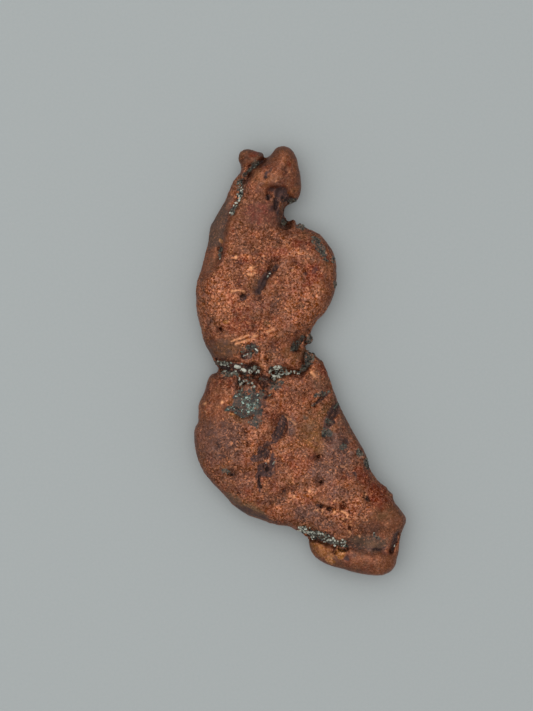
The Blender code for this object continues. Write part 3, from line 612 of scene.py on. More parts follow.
# %% Places of the pits, crevices and folds
# Pits: x, y, radius, depth.
PITS = [
    (-5.2, 27.4, 0.24, 0.2), (-4.6, 28.4, 0.14, 0.15), (-2.05, 28.3, 0.15, 0.35),
    (-1.65, 29.4, 0.16, 0.2), (-0.75, 25.5, 0.18, 0.25), (-8.6, 9.8, 0.22, 0.6),
    (-8.2, 9.4, 0.14, 0.4), (-11.9, 4.8, 0.2, 0.6), (-5.3, 3.8, 0.13, 0.5), (-5.15, 0.65, 0.13, 0.45),
    (-4.95, 0.1, 0.17, 0.5), (3.3, -14.25, 0.17, 0.45), (2.6, -14.4, 0.21, 0.55),
    (3.05, -18.1, 0.2, 0.6), (2.7, -18.0, 0.12, 0.3), (-10.4, -17.1, 0.2, 0.6),
    (-10.8, -16.9, 0.12, 0.35), (-12.3, -12.6, 0.14, 0.35), (-7.8, -12.6, 0.16, 0.3),
    (4.35, -22.1, 0.34, 0.7), (3.15, -21.7, 0.27, 0.5), (2.8, -21.6, 0.15, 0.35),
    (6.4, -21.7, 0.24, 0.5), (8.4, -14.9, 0.14, 0.3), (4.8, -22.0, 0.13, 0.5),
    (7.45, -24.9, 0.22, 0.4), (8.2, -17.0, 0.12, 0.3), (8.7, -15.2, 0.16, 0.3),
    (-4.9, -16.1, 0.35, 0.5), (-5.5, -15.7, 0.2, 0.35), (-12.6, 0.3, 0.26, 0.45),
    (1.9, -3.1, 0.12, 0.3), (-5.95, -18.9, 0.24, 0.5), (5.2, -28.15, 0.18, 0.4),
    (-2.9, -10.3, 0.12, 0.25), (-9.6, 11.2, 0.13, 0.3), (-9.9, 9.1, 0.12, 0.3),
    (-7.2, 11.9, 0.12, 0.25), (-13.4, 5.8, 0.16, 0.3), (-0.4, 4.2, 0.12, 0.25),
]
# Crevices: path, half width, depth.
CREVICES = [
    ([(-5.3, 30.6), (-5.9, 30.0), (-6.7, 29.3), (-7.4, 28.7), (-8.3, 28.0)], 0.3, 0.28),
    ([(-8.8, 27.1), (-8.7, 25.5), (-8.9, 24.6), (-9.6, 23.5), (-10.0, 22.2)], 0.35, 0.25),
    ([(-3.3, 25.6), (-3.5, 24.3), (-3.6, 23.0)], 0.4, 0.2), ([(-4.9, 24.8), (-4.8, 24.2)], 0.18, 0.3),
    ([(-2.6, 24.5), (-1.9, 24.1), (-1.1, 23.8)], 0.35, 0.45),
    ([(-2.3, 22.9), (-2.2, 21.9), (-2.1, 20.9)], 0.3, 0.4),
    ([(-3.8, 14.1), (-4.4, 13.2), (-4.9, 12.4), (-5.5, 11.4), (-6.0, 10.4)], 0.4, 0.24),
    ([(-4.6, 12.9), (-5.0, 12.2)], 0.2, 0.4),
    ([(-12.1, 17.0), (-11.9, 16.3), (-12.0, 15.5)], 0.22, 0.25),
    ([(2.3, 18.2), (2.9, 17.2), (3.6, 16.0)], 0.35, 0.2),
    ([(-1.9, 4.3), (-0.9, 4.3), (0.2, 3.9)], 0.1, 0.25),
    ([(-13.0, -0.7), (-11.9, -1.0), (-10.6, -1.1), (-9.7, -1.5), (-8.6, -2.0), (-7.6, -2.3),
      (-6.6, -1.9), (-5.9, -2.4)], 0.4, 0.32),
    ([(-9.9, -0.2), (-9.2, -0.2), (-8.3, -0.7), (-7.5, -0.9)], 0.25, 0.2),
    ([(-9.4, -2.2), (-9.35, -3.0), (-9.2, -4.0)], 0.2, 0.3),
    ([(-8.7, -2.4), (-8.5, -3.4)], 0.18, 0.3),
    ([(-6.2, -2.5), (-5.6, -3.3), (-5.0, -3.8), (-5.6, -4.0)], 0.22, 0.4),
    ([(-4.8, -2.9), (-4.4, -2.6)], 0.25, 0.5),
    ([(-4.4, -1.8), (-3.6, -1.7), (-2.7, -1.6), (-2.1, -1.5)], 0.2, 0.22),
    ([(-2.1, -1.5), (-0.9, -1.45), (0.0, -1.3), (0.8, -0.9)], 0.14, 0.18),
    ([(-0.9, 1.8), (-0.5, 2.3), (0.2, 3.3)], 0.4, 0.45),
    ([(0.75, 4.0), (0.85, 3.2), (0.7, 2.6)], 0.2, 0.35),
    ([(-5.3, -5.6), (-4.8, -5.3), (-4.2, -4.9)], 0.14, 0.35),
    ([(3.6, -5.3), (3.0, -5.8), (2.1, -6.7)], 0.2, 0.45),
    ([(5.7, -6.5), (5.2, -7.3), (4.7, -8.4), (4.3, -9.3)], 0.42, 0.4),
    ([(6.6, -7.6), (6.9, -8.6), (7.2, -9.6)], 0.16, 0.2),
    ([(-2.2, -8.5), (-2.5, -9.8), (-2.7, -11.3)], 0.25, 0.12),
    ([(-3.2, -8.9), (-3.5, -10.2), (-3.7, -11.4)], 0.15, 0.1),
    ([(-6.0, -17.2), (-6.1, -18.3), (-6.0, -18.9)], 0.14, 0.4),
    ([(9.6, -20.2), (10.15, -20.9)], 0.2, 0.45), ([(5.3, -28.0), (5.15, -28.8)], 0.2, 0.4),
    ([(11.0, -28.4), (12.4, -28.3)], 0.13, 0.25),
    ([(14.6, -26.1), (14.3, -27.3), (13.9, -28.7)], 0.34, 0.3),
]
# Folds, ridges and lips that stand up: path, half width, height.
FOLDS = [
    ([(-10.4, 2.9), (-9.0, 3.3), (-7.6, 3.7), (-6.6, 3.8)], 0.22, 0.2),
    ([(-9.5, 2.3), (-8.3, 2.8), (-7.0, 3.2)], 0.2, 0.16),
    ([(-3.7, 19.4), (-2.8, 18.4), (-1.8, 17.3)], 0.4, 0.18),
    ([(-10.2, 10.5), (-9.2, 10.5), (-8.3, 10.3), (-7.9, 9.8)], 0.2, 0.16),
    ([(6.0, -22.5), (6.7, -22.4), (7.2, -22.9), (7.0, -23.5)], 0.2, 0.22),
    ([(3.5, -21.4), (4.3, -21.4), (5.0, -21.8), (4.9, -22.6)], 0.22, 0.16),
    ([(-5.8, 1.4), (-5.7, -0.2), (-5.3, -1.3)], 0.5, 0.25),
    ([(-1.9, -8.4), (-1.7, -9.6), (-1.8, -10.8)], 0.16, 0.2),
    ([(-5.6, -14.6), (-5.1, -15.1), (-4.6, -14.6)], 0.25, 0.25),
    ([(3.0, -6.9), (4.0, -6.1), (5.0, -5.4)], 0.45, 0.2),
    ([(1.4, 4.0), (1.5, 3.4), (1.3, 2.9)], 0.4, 0.25), ([(9.4, -19.8), (9.6, -20.6)], 0.18, 0.2),
    ([(-7.0, -3.2), (-7.4, -4.0)], 0.3, 0.25), ([(-10.4, -2.6), (-9.9, -3.4)], 0.3, 0.2),
]
print(len(PITS), "pits,", len(CREVICES), "crevices,", len(FOLDS), "folds")

# %% [markdown]
# ## How a pit or a crevice is cut
# A drilled hole or a sawn slot looks wrong on a nugget. So the places are moved about by two
# sizes of noise before they are looked up, and along a crevice the width and the depth change,
# which leaves bridges and pockets as a real seam has.

# %% Cutting and raising
PIT_RIM, PIT_CORE = 1.35, 0.35  # in radii
CREVICE_RIM, CREVICE_CORE = 1.5, 0.1  # in half widths
WIDER_BY, DEEPER_BY = 0.55, 0.9  # how much a crevice changes along its way


def pressed(points):
    """Depth of the pits and crevices at each point; where they meet, the deeper one counts."""
    places = ragged(ragged(points, 0.9, 0.2, seed=91), 0.4, 0.12, seed=97)[:, :2]
    wider = 1 + WIDER_BY * layered(points, 0.9, 101, 2)
    deeper = 1 + DEEPER_BY * layered(points, 0.7, 103, 2)
    depth = spots_at(places, PITS, PIT_RIM, PIT_CORE)
    for path, half_width, deep in CREVICES:
        across = path_reach(places, path) / (half_width * wider)
        depth = np.maximum(depth, deep * deeper * fade(-across, -CREVICE_RIM, -CREVICE_CORE))
    return depth


def raised(points):
    """Height of the folds and ridges at each point."""
    places = ragged(points, 0.8, 0.15, seed=93)[:, :2]
    height = np.zeros(len(points))
    for path, half_width, high in FOLDS:
        height = np.maximum(height, high * np.exp(-((path_reach(places, path) / half_width) ** 2)))
    return height


print(f"deepest cut {pressed(points).max():.2f} mm, highest fold {raised(points).max():.2f} mm")

# %% [markdown]
# ## A node helper
# Every tree from here on is built in the script, so that it can be read and changed. One small
# function adds a node. Its inputs may be values, other nodes' sockets, or other nodes, of which
# the first output in use is taken.

# %% Adding a node
def add(tree, kind, inputs=None, **settings):
    """Adds a node, with its settings, and its inputs as values or as links."""
    node = tree.nodes.new(kind)
    for name, value in settings.items():
        setattr(node, name, value)
    for socket, value in (inputs or {}).items():
        if isinstance(value, bpy.types.Node):
            value = next(output for output in value.outputs if output.enabled)
        if isinstance(value, bpy.types.NodeSocket):
            tree.links.new(value, node.inputs[socket])
        else:
            node.inputs[socket].default_value = value
    return node


def new_tree(name, inputs):
    """A geometry node tree with named inputs: name to (socket type, default)."""
    tree = bpy.data.node_groups.new(name, "GeometryNodeTree")
    tree.interface.new_socket("Geometry", in_out="INPUT", socket_type="NodeSocketGeometry")
    tree.interface.new_socket("Geometry", in_out="OUTPUT", socket_type="NodeSocketGeometry")
    for label, (kind, default) in inputs.items():
        socket = tree.interface.new_socket(label, in_out="INPUT", socket_type=kind)
        if default is not None:
            socket.default_value = default
    return tree, tree.nodes.new("NodeGroupInput").outputs


def run_tree(thing, tree, **values):
    """Runs a node tree on an object with its inputs set, and returns the mesh that it makes."""
    modifier = thing.modifiers.new(tree.name, "NODES")
    modifier.node_group = tree
    for item in tree.interface.items_tree:
        label = item.name.replace(" ", "_").lower()
        if item.in_out == "INPUT" and label in values:
            modifier[item.identifier] = values[label]
    made = made_mesh(thing)
    thing.modifiers.remove(modifier)
    return made


copper = bpy.data.materials.new("native_copper")
print("material", copper.name, "is ready to be set by the trees")

# %% [markdown]
# ## Grainy copper
# Close up, native copper is a felt of small crystals, worn into facets that each lean their own
# way. A Voronoi texture gives just that: it parts space into cells, and here each cell's face is
# tilted by a random slope of its own. An engraver would cut each facet with a flat graver. Nodes
# cut thousands of them by one rule, and the material later uses the same rule for finer ones.

# %% Leaning facets
MIDDLE = (0.5, 0.5, 0.5)  # the average of a random colour, taken off so that it leans both ways


def leaning_facets(tree, place, size, tilt):
    """Height of a surface parted into cells that each lean their own way."""
    per_mm = add(tree, "ShaderNodeMath", {0: 1.0, 1: size}, operation="DIVIDE")
    cells = add(tree, "ShaderNodeTexVoronoi", {"Vector": place, "Scale": per_mm}).outputs
    lean = add(tree, "ShaderNodeVectorMath", {0: cells["Color"], 1: MIDDLE}, operation="SUBTRACT")
    offset = add(tree, "ShaderNodeVectorMath", {0: place, 1: cells["Position"]},
                 operation="SUBTRACT")
    rise = add(tree, "ShaderNodeVectorMath", {0: offset, 1: lean}, operation="DOT_PRODUCT")
    return add(tree, "ShaderNodeMath", {0: rise.outputs["Value"], 1: tilt}, operation="MULTIPLY")


print("a facet's slope lies within", MIDDLE[0], "of flat each way, times the tilt")

# %% [markdown]
# ## The grain tree
# Two sizes of cell are laid over each other, and a third, sparse one leaves pock marks. A node
# tree does it, because the same rule then works over the whole surface, and its sizes stay named
# inputs. The "grainy" attribute says how strongly: most where the copper is bright, and least on
# the flanks that are worn smooth.

# %% The grain tree
def grain_tree():
    """Raises a grain of leaning facets and sinks pock marks, as strongly as "grainy" says."""
    tree, given = new_tree("crystal grain", {
        "Grain Size": ("NodeSocketFloat", 0.9), "Fine Grain Size": ("NodeSocketFloat", 0.5),
        "Tilt": ("NodeSocketFloat", 0.25), "Pock Size": ("NodeSocketFloat", 1.5),
        "Pock Depth": ("NodeSocketFloat", 0.08), "Material": ("NodeSocketMaterial", None)})
    place = add(tree, "GeometryNodeInputPosition")
    coarse = leaning_facets(tree, place, given["Grain Size"], given["Tilt"])
    fine = leaning_facets(tree, place, given["Fine Grain Size"], given["Tilt"])
    facets = add(tree, "ShaderNodeMath", {0: coarse, 1: fine}, operation="ADD")

    per_mm = add(tree, "ShaderNodeMath", {0: 1.0, 1: given["Pock Size"]}, operation="DIVIDE")
    pocks = add(tree, "ShaderNodeTexVoronoi", {"Vector": place, "Scale": per_mm}).outputs
    pit = add(tree, "ShaderNodeMapRange", {"Value": pocks["Distance"], "From Min": 0.22,
                                           "From Max": 0.08}, interpolation_type="SMOOTHSTEP")
    chosen = add(tree, "ShaderNodeMath", {0: pocks["Color"], 1: 0.66}, operation="GREATER_THAN")
    pit = add(tree, "ShaderNodeMath", {0: pit, 1: chosen}, operation="MULTIPLY")
    pit = add(tree, "ShaderNodeMath", {0: pit, 1: given["Pock Depth"]}, operation="MULTIPLY")

    height = add(tree, "ShaderNodeMath", {0: facets, 1: pit}, operation="SUBTRACT")
    grainy = add(tree, "GeometryNodeInputNamedAttribute", {"Name": "grainy"}, data_type="FLOAT")
    height = add(tree, "ShaderNodeMath", {0: height, 1: grainy}, operation="MULTIPLY")
    shift = add(tree, "ShaderNodeVectorMath", {0: add(tree, "GeometryNodeInputNormal"),
                                               "Scale": height}, operation="SCALE")
    moved = add(tree, "GeometryNodeSetPosition", {"Geometry": given["Geometry"], "Offset": shift})
    real = add(tree, "GeometryNodeRealizeInstances", {"Geometry": moved})
    painted = add(tree, "GeometryNodeSetMaterial",
                  {"Geometry": real, "Material": given["Material"]})
    add(tree, "NodeGroupOutput", {"Geometry": painted})
    return tree


grain = grain_tree()
print("grain tree:", len(grain.nodes), "nodes")

# %% [markdown]
# ## Working the surface
# The relief goes on from coarse to fine, as a carver would work: the nubs of the rim and soft
# hummocks first, torn copper along the seam, the crystal grain, and then the pits, crevices and
# folds. What lies on the ground stays flat, and the box must stay the solid's, so the work is kept
# to a few tenths of a millimetre. First comes a list of where rolling wore the grain away, because
# flanks and swells are smoother than hollows.

# %% Where rolling wore the copper smooth
SMOOTH = [
    (-3.2, 28.4, 4.6, 4.2, 0, 0.75), (-7.4, 30.8, 2.0, 1.6, 0, 0.8),
    (-12.6, 19.0, 1.8, 6.4, -15, 0.95), (-13.8, -8.0, 3.0, 6.0, 0, 0.6),
    (10.0, -30.6, 6.0, 2.2, 5, 0.75), (-11.4, 2.2, 3.0, 1.8, 0, 0.6),
    (3.2, -29.2, 3.0, 2.0, -20, 0.6), (4.6, 10.0, 1.6, 6.0, 0, 0.4), (12.8, -23.8, 2.6, 2.4, 0, 0.85),
    (0.0, 2.0, 2.6, 1.8, 0, 0.4), (-6.0, 22.0, 3.0, 2.0, 0, 0.35), (2.2, -11.4, 2.0, 3.0, 0, 0.35),
]
CONTACT = 0.05  # what lies lower than this, in mm, rests on the ground
WEAKEST, STRONGEST = 0.08, 1.1

smooth = blobs_at(ragged(points, 2.0, 0.8, seed=81)[:, :2], SMOOTH) * faces_up
grainy = 0.62 + 0.42 * finish["rubbed"] + 0.2 * finish["oxide"] - 0.6 * finish["patina"] - 0.7 * smooth
grainy = np.clip(grainy, WEAKEST, STRONGEST)
resting = points[:, 2] < CONTACT
keep(mesh, "grainy", grainy * ~resting)
print(f"grain strength {grainy.mean():.2f} on average")

# %% [markdown]
# ## Nubs and nicks
# The outline of the solid is smooth, but the real rim has small nubs and torn nicks, mostly where
# a seam runs out over the edge. They are pushed out or in along the ground only, so that the top
# face keeps its relief. A jeweller would raise them with a punch and cut them with a graver.

# %% Nubs and nicks of the rim
# Nubs (and nicks, below 0): x, y, radius, push.
NUBS = [
    (-5.8, 31.35, 0.5, 0.22), (-5.45, 30.75, 0.25, -0.2), (-1.05, 21.05, 0.45, 0.3),
    (-1.75, 20.9, 0.3, -0.45), (-0.42, 20.75, 0.22, -0.35), (0.15, 20.7, 0.45, 0.2),
    (1.75, 3.4, 0.5, 0.3), (1.55, 2.7, 0.3, 0.15), (0.75, 2.3, 0.3, -0.3), (-0.5, 24.1, 0.5, 0.25),
    (-9.2, 29.6, 0.4, -0.2), (3.3, -0.2, 0.4, 0.12), (8.9, -14.2, 0.5, 0.15), (0.6, -26.3, 0.3, 0.2),
    (-0.6, -25.7, 0.3, 0.15), (13.9, -20.2, 0.4, 0.2), (-15.8, -9.2, 0.4, -0.15),
    (1.2, 1.7, 0.3, -0.12), (2.3, 1.2, 0.3, 0.15), (-12.6, -0.5, 0.4, 0.15),
]
normals = points_of(mesh, "normal")
push = sum(by * np.exp(-((points[:, 0] - x) ** 2 + (points[:, 1] - y) ** 2) / radius**2)
           for x, y, radius, by in NUBS)
sideways = normals * (1, 1, 0) * ((1 - np.abs(normals[:, 2])) * push * ~resting)[:, None]
points += sideways
set_points(mesh, points)
print(len(NUBS), "nubs and nicks, up to", np.linalg.norm(sideways, axis=1).max().round(2), "mm")

# %% [markdown]
# ## Hummocks, torn copper and grain
# Between the large swells the surface rises and falls in soft hummocks a millimetre or three
# across. Where the nugget was pinched it is torn into sharp crests, which are noise folded over at
# its middle. Both lift the points along their normals, and the grain tree then runs over them. A
# maker would press the first in clay, tear the second with pliers and roll the last with a
# textured wheel. Noise does all three and lets every height be set.

# %% Hummocks, torn copper and grain
GRAIN = 0.36  # mm
HUMMOCKS = ((3.2, 0.1), (1.3, 0.06))  # size and height
TORN = [
    (-9.2, -2.6, 3.8, 1.9, -5, 1.0), (-5.2, -3.2, 1.5, 1.5, 0, 1.0), (-8.0, 1.4, 2.0, 1.2, 0, 0.5),
    (-7.9, -6.4, 2.4, 1.8, 0, 0.45), (-5.2, -14.8, 1.8, 2.4, 0, 0.4),
    (5.0, -8.0, 0.9, 2.4, -25, 0.5),
]
TORN_SIZE, TORN_HEIGHT = 0.85, 0.42

normals = points_of(mesh, "normal")
lift = sum(high * layered(points, size, 5 + n) for n, (size, high) in enumerate(HUMMOCKS))
torn = blobs_at(ragged(points, 1.5, 0.5)[:, :2], TORN) * faces_up
lift += TORN_HEIGHT * torn * (0.3 - np.abs(layered(points, TORN_SIZE, 9)))
cut = faces_up * pressed(points)
keep(mesh, "cut", cut)
fold = faces_up * raised(points)
set_points(mesh, points + normals * (lift * ~resting)[:, None])
nugget.data = run_tree(nugget, grain, grain_size=0.95, fine_grain_size=GRAIN, tilt=0.2,
                       pock_size=1.5, pock_depth=0.08, material=copper)
print(f"lifted from {lift.min():.2f} to {lift.max():.2f} mm, then grained")

# %% [markdown]
# ## Cutting into the grain
# The pits and crevices are cut last, because crystals fell out of them when the copper had long
# had its grain. They go straight down and the folds go straight up, since each is listed as it
# shows from above. Nothing may reach below the ground on which the nugget rests.

# %% Cut the pits and raise the folds
GROUND = 0.0

mesh = nugget.data
points = points_of(mesh)
points[:, 2] += fold - cut
points[:, 2] = np.where(resting, GROUND, np.maximum(points[:, 2], GROUND))
set_points(mesh, points)
print("worked mesh:", len(mesh.polygons), "faces, size",
      (points.max(0) - points.min(0)).round(2), "mm")

# %% [markdown]
# ## Hollows and edges
# Oxide gathers in hollows. The material also paints the hollows darker, as painted shade, and
# what stands up lighter, partly wear and partly painted highlight. To tell one from the other, each
# point is compared with the average of its neighbours a few tenths of a millimetre around: if the
# average lies above the point, the point is in a hollow.

# %% Measure hollows
def hollowness(mesh, rounds):
    """How far each point lies below its smoothed surroundings, in mm; less than 0 stands up."""
    ends = np.empty(len(mesh.edges) * 2, np.int32)
    mesh.edges.foreach_get("vertices", ends)
    a, b = ends.reshape(-1, 2).T
    points, normals = points_of(mesh), points_of(mesh, "normal")
    count = np.bincount(a, minlength=len(points)) + np.bincount(b, minlength=len(points))
    soft = points.copy()
    for _ in range(rounds):
        for axis in range(3):
            total = np.bincount(a, soft[b, axis], len(points))
            total += np.bincount(b, soft[a, axis], len(points))
            soft[:, axis] = total / count
    return ((soft - points) * normals).sum(1)


# Name, rounds of smoothing, depth in mm that counts as a full hollow.
HOLLOWS = (("fine_hollow", 5, 0.04), ("broad_hollow", 45, 0.16))
for name, rounds, deep in HOLLOWS:
    hollow = hollowness(mesh, rounds) / deep
    keep(mesh, name, np.clip(hollow, -1, 1))
    print(name, "spread", hollow.std().round(2))

# %% [markdown]
# ## The copper's own colour
# Bare copper is salmon pink, but a nugget is never bare: a film of brown oxide lies on it, thin
# on the high places and thick in the low ones. So the material starts as metal and its colour
# runs from dark film to worn copper by noise of two sizes, one for the clouds and one for the
# grain. Three weak blushes, red, olive and grey, keep the film from being one brown. Every number
# that was laid on the mesh is read here by its name. A metal keeps the default IOR.

# %% Native copper: film and metal
FACTOR, UNDER, OVER = 0, 6, 7  # the sockets of a Mix node that mixes colours
CLOUD, SPECKLE, BLUSH = 2.6, 0.42, 2.2  # sizes of the noises, in mm
FILM_COLOURS = ((0.35, "#5F382D"), (0.5, "#7A4A36"), (0.65, "#985D43"))
BLUSHES = ("#86382A", "#855A36", "#6A564E")  # red, olive and grey

copper.use_nodes = True
skin = copper.node_tree
skin.nodes.clear()
laid = {slot.name: add(skin, "ShaderNodeAttribute", attribute_name=slot.name).outputs["Fac"]
        for slot in mesh.attributes if slot.data_type == "FLOAT"}
place = add(skin, "ShaderNodeTexCoord").outputs["Object"]
cloud = add(skin, "ShaderNodeTexNoise", {"Vector": place, "Scale": 1 / (CLOUD * MM), "Detail": 4.0})
fine = add(skin, "ShaderNodeTexNoise", {"Vector": place, "Scale": 1 / (SPECKLE * MM), "Detail": 3.0})
tone = add(skin, "ShaderNodeMix", {"Factor": 0.5, "A": cloud, "B": fine})
ramp = add(skin, "ShaderNodeValToRGB", {"Fac": tone})
stops = ramp.color_ramp.elements
stops.new(0.5)
for stop, (at, hex_colour) in zip(stops, FILM_COLOURS):
    stop.position, stop.color = at, linear(hex_colour)

blush = add(skin, "ShaderNodeTexNoise", {"Vector": place, "Scale": 1 / (BLUSH * MM), "Detail": 6.0,
                                         "Roughness": 0.75}).outputs["Color"]
blush = add(skin, "ShaderNodeSeparateColor", {0: blush}).outputs
colour = ramp
for channel, hex_colour in zip(blush, BLUSHES):
    share = add(skin, "ShaderNodeMapRange", {"Value": channel, "From Min": 0.48,
                                             "From Max": 0.68, "To Max": 0.5})
    colour = add(skin, "ShaderNodeMix", {FACTOR: share, UNDER: colour, OVER: linear(hex_colour)},
                 data_type="RGBA")
print("film colours:", len(stops), "stops and three blushes; the mesh gives", ", ".join(laid))

# %% [markdown]
# ## Grain by grain
# Each crystal turns back the light in its own way, so each Voronoi cell gets a brightness of its
# own. The cells are those that gave the fine relief, so a grain's colour ends near its edge. Where
# the copper was rubbed, the brighter cells show nearly bare metal, and along the rims the same
# bright copper is painted light. A twisted noise near 0.4 mm felts the grains together, as crystals
# that grew into each other are.

# %% Native copper: grains
FELT = 0.36  # mm

cells = add(skin, "ShaderNodeTexVoronoi", {"Vector": place, "Scale": 1 / (GRAIN * MM)}).outputs
chance = add(skin, "ShaderNodeSeparateColor", {0: cells["Color"]}).outputs
glow = add(skin, "ShaderNodeMix", {"Factor": 0.5, "A": chance[0], "B": fine})
glow = add(skin, "ShaderNodeMapRange", {"Value": glow, "From Min": 0.3, "From Max": 0.75,
                                        "To Min": 0.1, "To Max": 0.8})
bare_and_rim_light = add(skin, "ShaderNodeMath", {0: glow, 1: laid["rubbed"]}, operation="MULTIPLY")
colour = add(skin, "ShaderNodeMix", {FACTOR: bare_and_rim_light, UNDER: colour, OVER: linear("#C07048")},
             data_type="RGBA")

swing = add(skin, "ShaderNodeMapRange", {"Value": chance[1], "To Min": -0.13, "To Max": 0.13})
felt = add(skin, "ShaderNodeTexNoise", {"Vector": place, "Scale": 1 / (FELT * MM), "Detail": 3.0,
                                        "Roughness": 0.7, "Distortion": 1.5})
felt = add(skin, "ShaderNodeMapRange", {"Value": felt, "From Min": 0.3, "From Max": 0.7,
                                        "To Min": 0.78, "To Max": 1.22})
swing = add(skin, "ShaderNodeMath", {0: swing, 1: laid["grainy"], 2: felt}, operation="MULTIPLY_ADD")
colour = add(skin, "ShaderNodeHueSaturation", {"Color": colour, "Value": swing})
print("grain cells", GRAIN, "mm across")

# %% [markdown]
# ## The stains over it
# The finishes that were laid on the mesh now go over the metal one after another, as they grew:
# films first, then oxide, then the mineral stains. The mesh is too coarse to hold a ragged edge,
# so noise of 0.8 mm and finer is added to each attribute before its edge is drawn.

# %% Native copper: stains
# Name, colour, how much of it shows at most, the values where it begins and is full, and how
# strongly it is broken up.
STAINS = (
    ("film", "#66412F", 0.65, 0.1, 1.0, 0.5),
    ("patina", "#4E3D35", 0.85, 0.1, 0.9, 0.5),
    ("olive", "#6A4E2F", 0.6, 0.1, 1.0, 0.6),
    ("mauve", "#6C524B", 0.7, 0.1, 1.0, 0.5),
    ("gold", "#9A6839", 0.75, 0.2, 0.9, 0.7),
    ("cuprite", "#78301F", 0.75, 0.1, 1.1, 1.0),
    ("oxide", "#422D2D", 0.92, 0.2, 0.8, 0.6),
    ("chlorite", "#37372F", 0.9, 0.35, 0.8, 1.0),
    ("seam", "#4A473C", 0.85, 0.35, 0.9, 0.9),
    ("malachite", "#161A16", 0.94, 0.15, 0.6, 0.5),
    ("malachite_lace", "#40544B", 0.85, 0.4, 0.9, 0.8),
)
STAIN_EDGE = 0.8  # mm

break_up = add(skin, "ShaderNodeTexNoise", {"Vector": place, "Scale": 1 / (STAIN_EDGE * MM),
                                            "Detail": 5.0, "Roughness": 0.65})
break_up = add(skin, "ShaderNodeMapRange", {"Value": break_up, "From Min": 0.25, "From Max": 0.75,
                                            "To Min": -0.5, "To Max": 0.5})
shares = {}
for name, hex_colour, most, begins, full, ragged_by in STAINS:
    edge = add(skin, "ShaderNodeMath", {0: break_up, 1: ragged_by, 2: laid[name]},
               operation="MULTIPLY_ADD")
    shares[name] = add(skin, "ShaderNodeMapRange", {"Value": edge, "From Min": begins,
                                                    "From Max": full, "To Max": most},
                       interpolation_type="SMOOTHSTEP")
    dabbed = add(skin, "ShaderNodeHueSaturation", {"Color": linear(hex_colour), "Value": swing})
    colour = add(skin, "ShaderNodeMix", {FACTOR: shares[name], UNDER: colour, OVER: dabbed},
                 data_type="RGBA")
print(len(shares), "stains")

# %% [markdown]
# ## Painted shade in the hollows, wear and highlight on the edges
# Every hollow is painted darker, as shade, and nearly black in the pits and crevices, as painted
# shadow. The edges of the grains are painted lighter, partly wear and partly painted highlight,
# most where the copper is rubbed. A model maker does the same with a dark wash and a dry brush.

# %% Native copper: hollows and edges
# Painted shade: dark brown laid into the fine and broad hollows, and nearly black into the cut pits and
# crevices.
hollow_shade = add(skin, "ShaderNodeMapRange", {"Value": laid["fine_hollow"], "From Min": 0.1,
                                        "To Max": 0.24})
deep = add(skin, "ShaderNodeMapRange", {"Value": laid["broad_hollow"], "From Min": 0.2,
                                        "To Max": 0.25})
hollow_shade = add(skin, "ShaderNodeMath", {0: hollow_shade, 1: deep}, operation="ADD")
pit_shade = add(skin, "ShaderNodeMapRange", {"Value": laid["cut"], "From Min": 0.15, "From Max": 0.4,
                                         "To Max": 0.85})
hollow_shade = add(skin, "ShaderNodeMath", {0: hollow_shade, 1: pit_shade}, operation="MAXIMUM")

# Edges that stand up get a lighter copper: partly wear, partly painted highlight.
lip_strength = add(skin, "ShaderNodeMapRange", {"Value": laid["rubbed"], "To Min": 0.08, "To Max": 0.26})
edge_wear_and_highlight = add(skin, "ShaderNodeMapRange", {"Value": laid["fine_hollow"], "From Min": -0.1,
                                       "From Max": -1.0})
edge_wear_and_highlight = add(skin, "ShaderNodeMath", {0: edge_wear_and_highlight, 1: lip_strength}, operation="MULTIPLY")
# Painted shade in the hollows first, then the lighter edges, part wear and part painted highlight.
for share, hex_colour in ((hollow_shade, "#2A1C18"), (edge_wear_and_highlight, "#D48E64")):
    colour = add(skin, "ShaderNodeMix", {FACTOR: share, UNDER: colour, OVER: linear(hex_colour)},
                 data_type="RGBA")
print("dirt and wear:", len(skin.nodes), "nodes so far")

# %% [markdown]
# ## Facets, specks and glints
# Inside each grain lie facets near 0.18 mm, the faces of single crystals. They are cells of a
# finer Voronoi, bent out of their even shape by noise. Each has its own shade, and a bright one is
# a little paler. One in seven holds dirt, and about as many get a painted highlight, pink or
# orange, where a facet would flash in the light. This salt and pepper is what the eye takes for
# crystal.

# %% Native copper: facets, specks and glints
FACET = 0.18  # mm
BENT_EVERY, BENT_BY = 0.45, 0.5  # size and reach of the noise that bends the cells, in mm
# Dirt, then pink and orange flashes, which are painted highlights: the draw that is used, and the part
# of it where each begins.
SPECKS = ((1, "#33201A", 0.86), (2, "#CE8A68", 0.88), (0, "#DE8A54", 0.9))

wander = add(skin, "ShaderNodeTexNoise", {"Vector": place, "Scale": 1 / (BENT_EVERY * MM),
                                          "Detail": 2.0}).outputs["Color"]
bent = add(skin, "ShaderNodeVectorMath", {0: wander, 1: (BENT_BY * MM,) * 3, 2: place},
           operation="MULTIPLY_ADD")
facets = add(skin, "ShaderNodeTexVoronoi", {"Vector": bent, "Scale": 1 / (FACET * MM)}).outputs
luck = add(skin, "ShaderNodeSeparateColor", {0: facets["Color"]}).outputs
often = add(skin, "ShaderNodeMapRange", {"Value": laid["grainy"], "From Max": 0.9, "To Min": 0.3,
                                         "To Max": 0.9})
coated = add(skin, "ShaderNodeMath", {0: shares["oxide"], 1: shares["malachite"]},
             operation="MAXIMUM")
often = add(skin, "ShaderNodeMath", {0: coated, 1: -0.45, 2: often}, operation="MULTIPLY_ADD",
            use_clamp=True)

